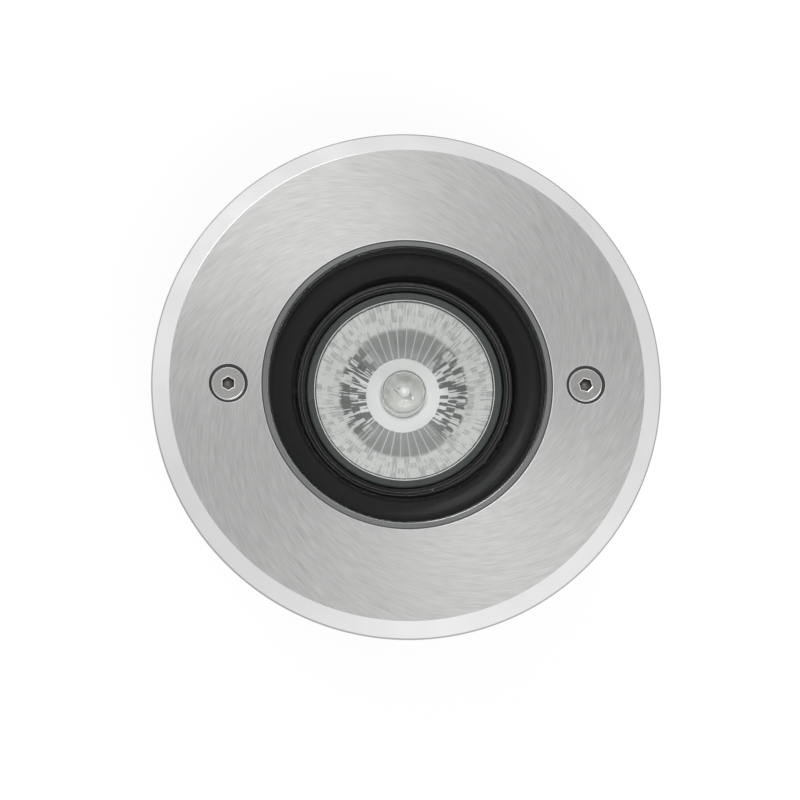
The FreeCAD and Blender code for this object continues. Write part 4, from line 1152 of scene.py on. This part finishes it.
@dataclass
class ReflectorLamp(Tilted):
    """Mains reflector lamp: faceted bowl, front glass, quartz capsule, base and pins."""

    rim_r: float = 25.0
    rim_height: float = 2.2
    front: float = 1.0
    cover_r: float = 23.0
    cover_thickness: float = 1.5
    cover_sunk: float = 0.1
    cover_segments: int = 216
    bowl_r: float = 22.6
    neck_r: float = 9.6
    neck_z: float = -33.0
    change_r: float = 16.4
    wall: float = 1.3
    back_steps: int = 12
    steps_round: int = 288
    steps_along: int = 4
    facet_seed: int = 5
    capsule_r: float = 5.8
    capsule_top: float = -8.5
    capsule_wall: float = 0.45
    capsule_segments: int = 96
    dome_r: float = 1.8
    dome_height: float = 2.6
    coil_z: float = -17.0
    coil_half: float = 2.3
    coil_turns: int = 15
    coil_steps: int = 16
    coil_r: float = 0.5
    wire_r: float = 0.11
    leg_r: float = 0.22
    leg_length: float = 5.0
    cad_looks: ClassVar[dict[str, Look]] = {"lamp_base": Look.CERAMIC, "lamp_pins": Look.TIN}

    def zones(self) -> tuple[FacetZone, FacetZone]:
        """The coarse zone round the neck and the fine one outside it."""
        return (
            FacetZone(36, 3, self.neck_r, self.change_r, 0.16, 0.45),
            FacetZone(72, 4, self.change_r, self.bowl_r, 0.10, 0.30),
        )

    def bowl_z(self, radius: float) -> float:
        """Height of the parabola at a radius."""
        rim = self.front - self.cover_thickness - 0.3
        share = (radius**2 - self.neck_r**2) / (self.cover_r**2 - self.neck_r**2)
        return self.neck_z + share * (rim - self.neck_z)

    def section(self) -> Profile:
        """The bowl's closed half section, starting up its inner side."""
        radii = [r for zone in self.zones() for r in zone.stations(self.steps_along)] + [self.bowl_r]
        seat = self.front - self.cover_thickness
        rim_bottom = self.front - self.rim_height
        step = (self.bowl_r - self.neck_r) / self.back_steps
        back = [self.neck_r + step * i for i in range(self.back_steps, -1, -1)]
        back = [(r + self.wall, self.bowl_z(r) - 0.5) for r in back]
        return [
            *((r, self.bowl_z(r)) for r in radii),
            (self.bowl_r, seat),
            (self.cover_r - 0.2, seat),
            (self.cover_r + 0.1, seat),
            (self.cover_r + 0.1, self.front - 0.25),
            (self.cover_r + 0.35, self.front),
            (self.rim_r - 0.4, self.front),
            (self.rim_r - 0.12, self.front - 0.12),
            (self.rim_r, self.front - 0.4),
            (self.rim_r, rim_bottom),
            *(point for point in back if point[1] < rim_bottom - 0.4),
            (self.neck_r, self.neck_z - self.wall),
        ]

    def reflector(self) -> None:
        """The bowl: coarse facets round the neck, fine ones outside, smooth back."""
        shape = Shape()
        shape.lathe(self.section(), self.steps_round)
        inner = set()
        for vert in shape.bm.verts:
            radius, turn = math.hypot(vert.co.x, vert.co.y), math.atan2(vert.co.y, vert.co.x)
            if radius > self.bowl_r + MERGE_GAP or abs(vert.co.z - self.bowl_z(radius)) > 10.0 * MERGE_GAP:
                continue
            inner.add(vert)
            zone = self.zones()[radius > self.change_r - MERGE_GAP]
            flat_r, bulge = zone.shaped(turn, radius, self.facet_seed)
            reach = flat_r - bulge
            vert.co = (reach * math.cos(turn), reach * math.sin(turn), vert.co.z + 0.5 * bulge)
        shape.paint(1, lambda face: not all(vert in inner for vert in face.verts))
        shape.paint(2, self.on_ledge)
        self.spread_bowl(shape)
        looks = (Look.MIRROR, Look.RIM_GLASS, Look.GLINT)
        self.hand_over(shape, "lamp_reflector", looks, "reflector", "lamp", 9.0)

    def on_ledge(self, face: Face) -> bool:
        """Whether a face is the coated ledge that the front glass sits on."""
        radius, z = middle_of(face)
        return self.cover_r - 0.15 < radius < self.cover_r + 0.1 and z > self.front - 1.7

    def spread_bowl(self, shape: Shape) -> None:
        """Lays the bowl's UV map: U once round, V from the neck to the rim.

        Args:
            shape: The reflector's mesh, still upright.
        """
        layer = shape.bm.loops.layers.uv.new(BOWL_UV)
        span = self.bowl_r - self.neck_r
        for face in shape.bm.faces:
            middle = face.calc_center_median()
            about = math.atan2(middle.y, middle.x)
            for loop in face.loops:
                spot = loop.vert.co
                turn = math.atan2(spot.y, spot.x) - about
                turn = about + (turn + math.pi) % FULL_TURN - math.pi
                loop[layer].uv = (turn / FULL_TURN + 1.0, (math.hypot(spot.x, spot.y) - self.neck_r) / span)

    def cement(self) -> None:
        """The pale cement that sets the capsule in the neck."""
        shape = Shape()
        foot = self.neck_z - self.wall + 0.1
        inside, outside = self.capsule_r + 0.1, self.neck_r + 0.15
        top = self.neck_z + 0.2
        crest = [(inside + 0.9, top + 0.9), (inside, top + 0.4)]
        shape.lathe([(inside, foot), (outside, foot), (outside, top), *crest], 144)
        shape.soften(0.2)
        self.hand_over(shape, "lamp_cement", (Look.CEMENT,), "ceramic", "lamp")

    def filament(self) -> None:
        """The coiled wire across the capsule, on its two legs."""
        shape = Shape()
        start = Matrix.Translation((-self.coil_half, self.coil_r, 0.0))
        wire = bmesh.ops.create_circle(shape.bm, cap_ends=True, segments=8, radius=self.wire_r, matrix=start)
        verts = wire["verts"]
        edges = list({edge for vert in verts for edge in vert.link_edges})
        faces = list({face for vert in verts for face in vert.link_faces})
        steps = self.coil_turns * self.coil_steps
        bmesh.ops.spin(
            shape.bm,
            geom=verts + edges + faces,
            cent=(0.0, 0.0, 0.0),
            axis=(1.0, 0.0, 0.0),
            dvec=(2.0 * self.coil_half / steps, 0.0, 0.0),
            angle=FULL_TURN * self.coil_turns,
            steps=steps,
            use_merge=False,
            use_duplicate=False,
        )
        shape.place(Matrix.Translation((0.0, 0.0, self.coil_z)))
        for side in (-1.0, 1.0):
            foot = (side * (self.coil_half + 0.1), 0.0, self.coil_z - self.leg_length / 2.0 + 0.1)
            bmesh.ops.create_cone(
                shape.bm,
                cap_ends=True,
                segments=12,
                radius1=self.leg_r,
                radius2=self.leg_r,
                depth=self.leg_length,
                matrix=Matrix.Translation(foot),
            )
        bmesh.ops.recalc_face_normals(shape.bm, faces=shape.bm.faces[:])
        self.hand_over(shape, "lamp_filament", (Look.TUNGSTEN,), "tungsten", "lamp")

    def cover(self) -> None:
        """The flat front glass."""
        shape = Shape()
        bottom, top = self.front - self.cover_thickness, self.front - self.cover_sunk
        section = [(0.0, bottom), (self.cover_r, bottom), (self.cover_r, top), (0.0, top)]
        shape.lathe(section, self.cover_segments)
        shape.soften(0.25)
        self.hand_over(shape, "lamp_cover", (Look.GLASS,), "glass_clear", "lamp")

    def capsule_skin(self, inset: float, foot: float, tip: Profile) -> Shape:
        """One skin of the capsule: a tube, a rounded shoulder and a tip.

        Args:
            inset: How far it lies inside the capsule's outer skin.
            foot: The height of its bottom.
            tip: The (radius, height over the capsule's top) points of its tip.

        Returns:
            The closed skin.
        """
        shoulder = self.capsule_top - self.dome_height
        radius, dome = self.capsule_r - inset, self.dome_r - inset
        section = [(0.0, foot), (radius, foot), (radius, shoulder)]
        for angle in (math.radians(15.0 * i) for i in range(1, 7)):
            section.append((radius - dome + dome * math.cos(angle), shoulder + dome * math.sin(angle)))
        section += [(r, self.capsule_top + rise) for r, rise in tip]
        shape = Shape()
        shape.lathe(section, self.capsule_segments)
        return shape

    def capsule(self) -> None:
        """The quartz capsule, hollow, with its sealed tip."""
        bottom = self.neck_z - self.wall
        tip = [(2.4, -0.55), (1.3, -0.3), (0.95, 0.5), (0.5, 1.3), (0.0, 1.5)]
        shape = self.capsule_skin(0.0, bottom, tip)
        # Milky white on the tip and, as a painted highlight, on the shoulder ring.
        shape.paint(1, self.is_milky_tip_or_highlight_rim)
        tip = [(2.4, -1.15), (1.0, -0.95), (0.5, -0.2), (0.0, 0.0)]
        hollow = self.capsule_skin(self.capsule_wall, bottom + 2.0, tip)
        bmesh.ops.reverse_faces(hollow.bm, faces=hollow.bm.faces[:])
        mesh = bpy.data.meshes.new("hollow")
        hollow.bm.to_mesh(mesh)
        hollow.bm.free()
        shape.bm.from_mesh(mesh)
        bpy.data.meshes.remove(mesh)
        self.hand_over(shape, "lamp_capsule", (Look.QUARTZ, Look.MILKY_TIP_AND_HIGHLIGHT), "quartz", "lamp", 60.0)

    def is_milky_tip_or_highlight_rim(self, face: Face) -> bool:
        """Whether a face of the capsule is its sealed tip, which is milky quartz, or its drawn shoulder, whose
        white is a painted highlight.
        """
        radius, z = middle_of(face)
        over = z > self.capsule_top - self.dome_height
        return over and (radius < 1.2 or radius > self.capsule_r - 0.3)

    def make(self) -> None:
        """Makes the lamp's own pieces."""
        for piece in (self.reflector, self.cover, self.capsule, self.cement, self.filament):
            piece()


# ---- housing and sleeve ----------------------------------------------------------------------
@dataclass
class HousingAssembly(Assembly):
    """The cast housing with its baffle dish, terminals and cable gland."""

    cad_looks: ClassVar[dict[str, Look]] = {
        "housing_body": Look.CASTING,
        "baffle_dish": Look.BAFFLE,
        "terminal_block": Look.CERAMIC,
        "terminal_screws": Look.ZINC,
        "earth_screw": Look.BRASS,
        "earth_tag": Look.TIN,
        "gland_body": Look.NICKEL,
        "gland_lock_nut": Look.NICKEL,
        "gland_washer": Look.RUBBER,
        "cable_seal": Look.RUBBER,
        "gland_cap": Look.NICKEL,
    }


@dataclass
class SleeveAssembly(Assembly):
    """The plastic sleeve that stays in the ground."""

    cad_looks: ClassVar[dict[str, Look]] = {"installation_sleeve": Look.SLEEVE}


# ---- studio ----------------------------------------------------------------------------------
@dataclass(frozen=True)
class Softbox:
    """One rectangular lamp aimed at the light's face."""

    name: str
    azimuth: float
    lean: float
    size: tuple[float, float]
    power: float
    mirrored: bool = True
    distance: float = 1.6

    def build(self, target: Vector) -> None:
        """Hangs the lamp.

        Args:
            target: The point it faces.
        """
        data = bpy.data.lights.new(self.name, "AREA")
        data.shape = "RECTANGLE"
        data.size, data.size_y = self.size
        data.energy = self.power
        lamp = bpy.data.objects.new(self.name, data)
        lamp.visible_glossy = self.mirrored
        away = leaning(self.azimuth, self.lean)
        lamp.location = target + away * self.distance
        lamp.rotation_euler = away.to_track_quat("Z", "Y").to_euler()
        bpy.context.scene.collection.objects.link(lamp)


@dataclass(frozen=True)
class SkySpot:
    """A round patch of the world with its own level, leaning to the camera's side."""

    lean: float
    edge: float
    core: float
    level: float

    def factor(self, board: Board, way: Socket, azimuth: float) -> Socket:
        """The patch as a factor for the world's level.

        Args:
            board: The world's board.
            way: The direction that is looked up.
            azimuth: The camera's side.

        Returns:
            The factor's socket.
        """
        values = {0: way, 1: leaning(azimuth, self.lean)}
        facing = board.node("ShaderNodeVectorMath", values, operation="DOT_PRODUCT")
        edge, core = math.cos(math.radians(self.edge)), math.cos(math.radians(self.core))
        return board.remap(facing.outputs["Value"], edge, core, 1.0, self.level)


@dataclass
class Studio:
    """Pale floor, soft lamps, gradient world and the reference camera."""

    face_centre_px: tuple[float, float] = (407.6, 383.8)
    frame_px: float = 800.0
    focal_px: float = 5043.0
    sensor: float = 36.0
    distance: float = 1.28
    off_vertical: float = 9.2
    camera_azimuth: float = -26.0
    roll: float = -0.32
    floor_half: float = 3.0
    floor_grey: float = 0.90
    floor_glow: float = 0.87
    horizon: float = 0.85
    shoulder: float = 1.0
    shoulder_rise: float = 0.6
    zenith: float = 1.2
    bank_azimuth: float = 116.0
    bank_low: float = 0.62
    bank_high: float = 1.0
    bank_steep: float = 0.30
    lens_spot: SkySpot = SkySpot(-8.0, 6.5, 4.0, 0.06)
    cover_spot: SkySpot = SkySpot(4.4, 3.6, 2.0, 0.06)
    bright_spot: SkySpot = SkySpot(12.5, 8.0, 4.5, 1.6)
    key: Softbox = Softbox("softbox_key", 205.0, 38.0, (0.9, 0.9), 5.0)
    overhead: Softbox = Softbox("softbox_overhead", 2.0, 18.0, (0.5, 0.35), 12.0, mirrored=False)

    def camera(self) -> None:
        """Sets the camera where the photograph was taken from."""
        data = bpy.data.cameras.new("reference_camera")
        data.sensor_width = self.sensor
        data.lens = self.focal_px * self.sensor / self.frame_px
        data.clip_end = 20.0
        camera = bpy.data.objects.new("reference_camera", data)
        back = leaning(self.camera_azimuth, self.off_vertical)
        right = Vector((0.0, 1.0, 0.0)).cross(back).normalized()
        up = back.cross(right).normalized()
        spin = Matrix.Rotation(math.radians(self.roll), 3, back)
        right, up = spin @ right, spin @ up
        half = self.frame_px / 2.0
        shift_x = (self.face_centre_px[0] - half) / self.focal_px * self.distance
        shift_y = (half - self.face_centre_px[1]) / self.focal_px * self.distance
        camera.matrix_world = Matrix((right, up, back)).transposed().to_4x4()
        face = Vector((0.0, 0.0, FACE_Z * MM))
        camera.location = face + back * self.distance - right * shift_x - up * shift_y
        bpy.context.scene.collection.objects.link(camera)
        bpy.context.scene.camera = camera

    def floor(self) -> None:
        """Lays a pale floor that looks white and keeps the light's shadow."""
        bm = bmesh.new()
        bmesh.ops.create_grid(bm, x_segments=2, y_segments=2, size=self.floor_half)
        mesh = bpy.data.meshes.new("studio_floor")
        bm.to_mesh(mesh)
        bm.free()
        floor = bpy.data.objects.new("studio_floor", mesh)
        bpy.context.scene.collection.objects.link(floor)
        material, board, shader, output = new_material("studio_paper")
        grey = (self.floor_grey,) * 3 + (1.0,)
        board.feed(shader, {"Base Color": grey, "Roughness": 0.9, "Specular IOR Level": 0.0})
        white = board.node("ShaderNodeEmission", {"Color": (1.0, 1.0, 1.0, 1.0)})
        path = board.node("ShaderNodeLightPath").outputs
        seen = board.math("ADD", path["Is Camera Ray"], path["Is Glossy Ray"])
        seen = board.math("ADD", seen, path["Is Transmission Ray"])
        share = board.math("MULTIPLY", board.math("MINIMUM", seen, 1.0), self.floor_glow)
        board.blend(output, share, shader, white)
        mesh.materials.append(material)

    def banks(self, board: Board, x: Socket, y: Socket, z: Socket) -> Socket:
        """Level of two opposite bright banks and the greyer sky between them.

        Args:
            board: The world's board.
            x: The looked up direction's X.
            y: Its Y.
            z: Its Z.

        Returns:
            The level's socket.
        """
        bank = math.radians(self.bank_azimuth)
        along = board.math("MULTIPLY", x, math.cos(bank))
        along = board.math("ADD", along, board.math("MULTIPLY", y, math.sin(bank)))
        flat = board.math("SQRT", board.math("SUBTRACT", 1.0, board.math("MULTIPLY", z, z)))
        share = board.math("DIVIDE", board.math("ABSOLUTE", along), board.math("MAXIMUM", flat, 0.05))
        swing = board.remap(share, 0.35, 0.95, self.bank_low - 1.0, self.bank_high - 1.0)
        steep = board.remap(z, 0.55, 0.80, self.bank_steep, 1.0)
        return board.math("ADD", 1.0, board.math("MULTIPLY", swing, steep))

    def world(self) -> None:
        """Soft surround, dark where the two glasses mirror it and bright round the camera."""
        world = bpy.data.worlds.new("studio_world")
        bpy.context.scene.world = world
        world.use_nodes = True
        board = Board(world.node_tree)
        back = next(node for node in world.node_tree.nodes if node.type == "BACKGROUND")
        way = board.node("ShaderNodeTexCoord").outputs["Generated"]
        x, y, z = board.split(way)
        rise = board.node("ShaderNodeValToRGB", {0: z})
        stops = rise.color_ramp.elements
        stops[0].color = (self.horizon,) * 3 + (1.0,)
        stops[1].color = (self.zenith,) * 3 + (1.0,)
        stops.new(self.shoulder_rise).color = (self.shoulder,) * 3 + (1.0,)
        spots: object = 1.0
        for spot in (self.lens_spot, self.cover_spot, self.bright_spot):
            spots = board.math("MULTIPLY", spots, spot.factor(board, way, self.camera_azimuth))
        level = board.math("MULTIPLY", self.banks(board, x, y, z), spots)
        level = board.math("MULTIPLY", level, rise.outputs[0])
        board.feed(back, {"Strength": level, "Color": (0.99, 0.995, 1.0, 1.0)})

    def build(self) -> None:
        """Sets up the whole studio."""
        bpy.context.scene.view_settings.view_transform = "Standard"
        self.camera()
        self.floor()
        self.world()
        for softbox in (self.key, self.overhead):
            softbox.build(Vector((0.0, 0.0, FACE_Z * MM)))


def main() -> None:
    """Builds the light and its studio, and logs each finished sub-assembly."""
    logging.basicConfig(level=logging.INFO, format="%(name)s: %(message)s")
    dresser = Dresser()
    Studio().build()
    for assembly in (TrimAssembly, LensAssembly, GimbalAssembly, ReflectorLamp, HousingAssembly, SleeveAssembly):
        assembly(dresser).build()
        LOG.info("finished %s", assembly.__name__)


if __name__ == "__main__":
    main()
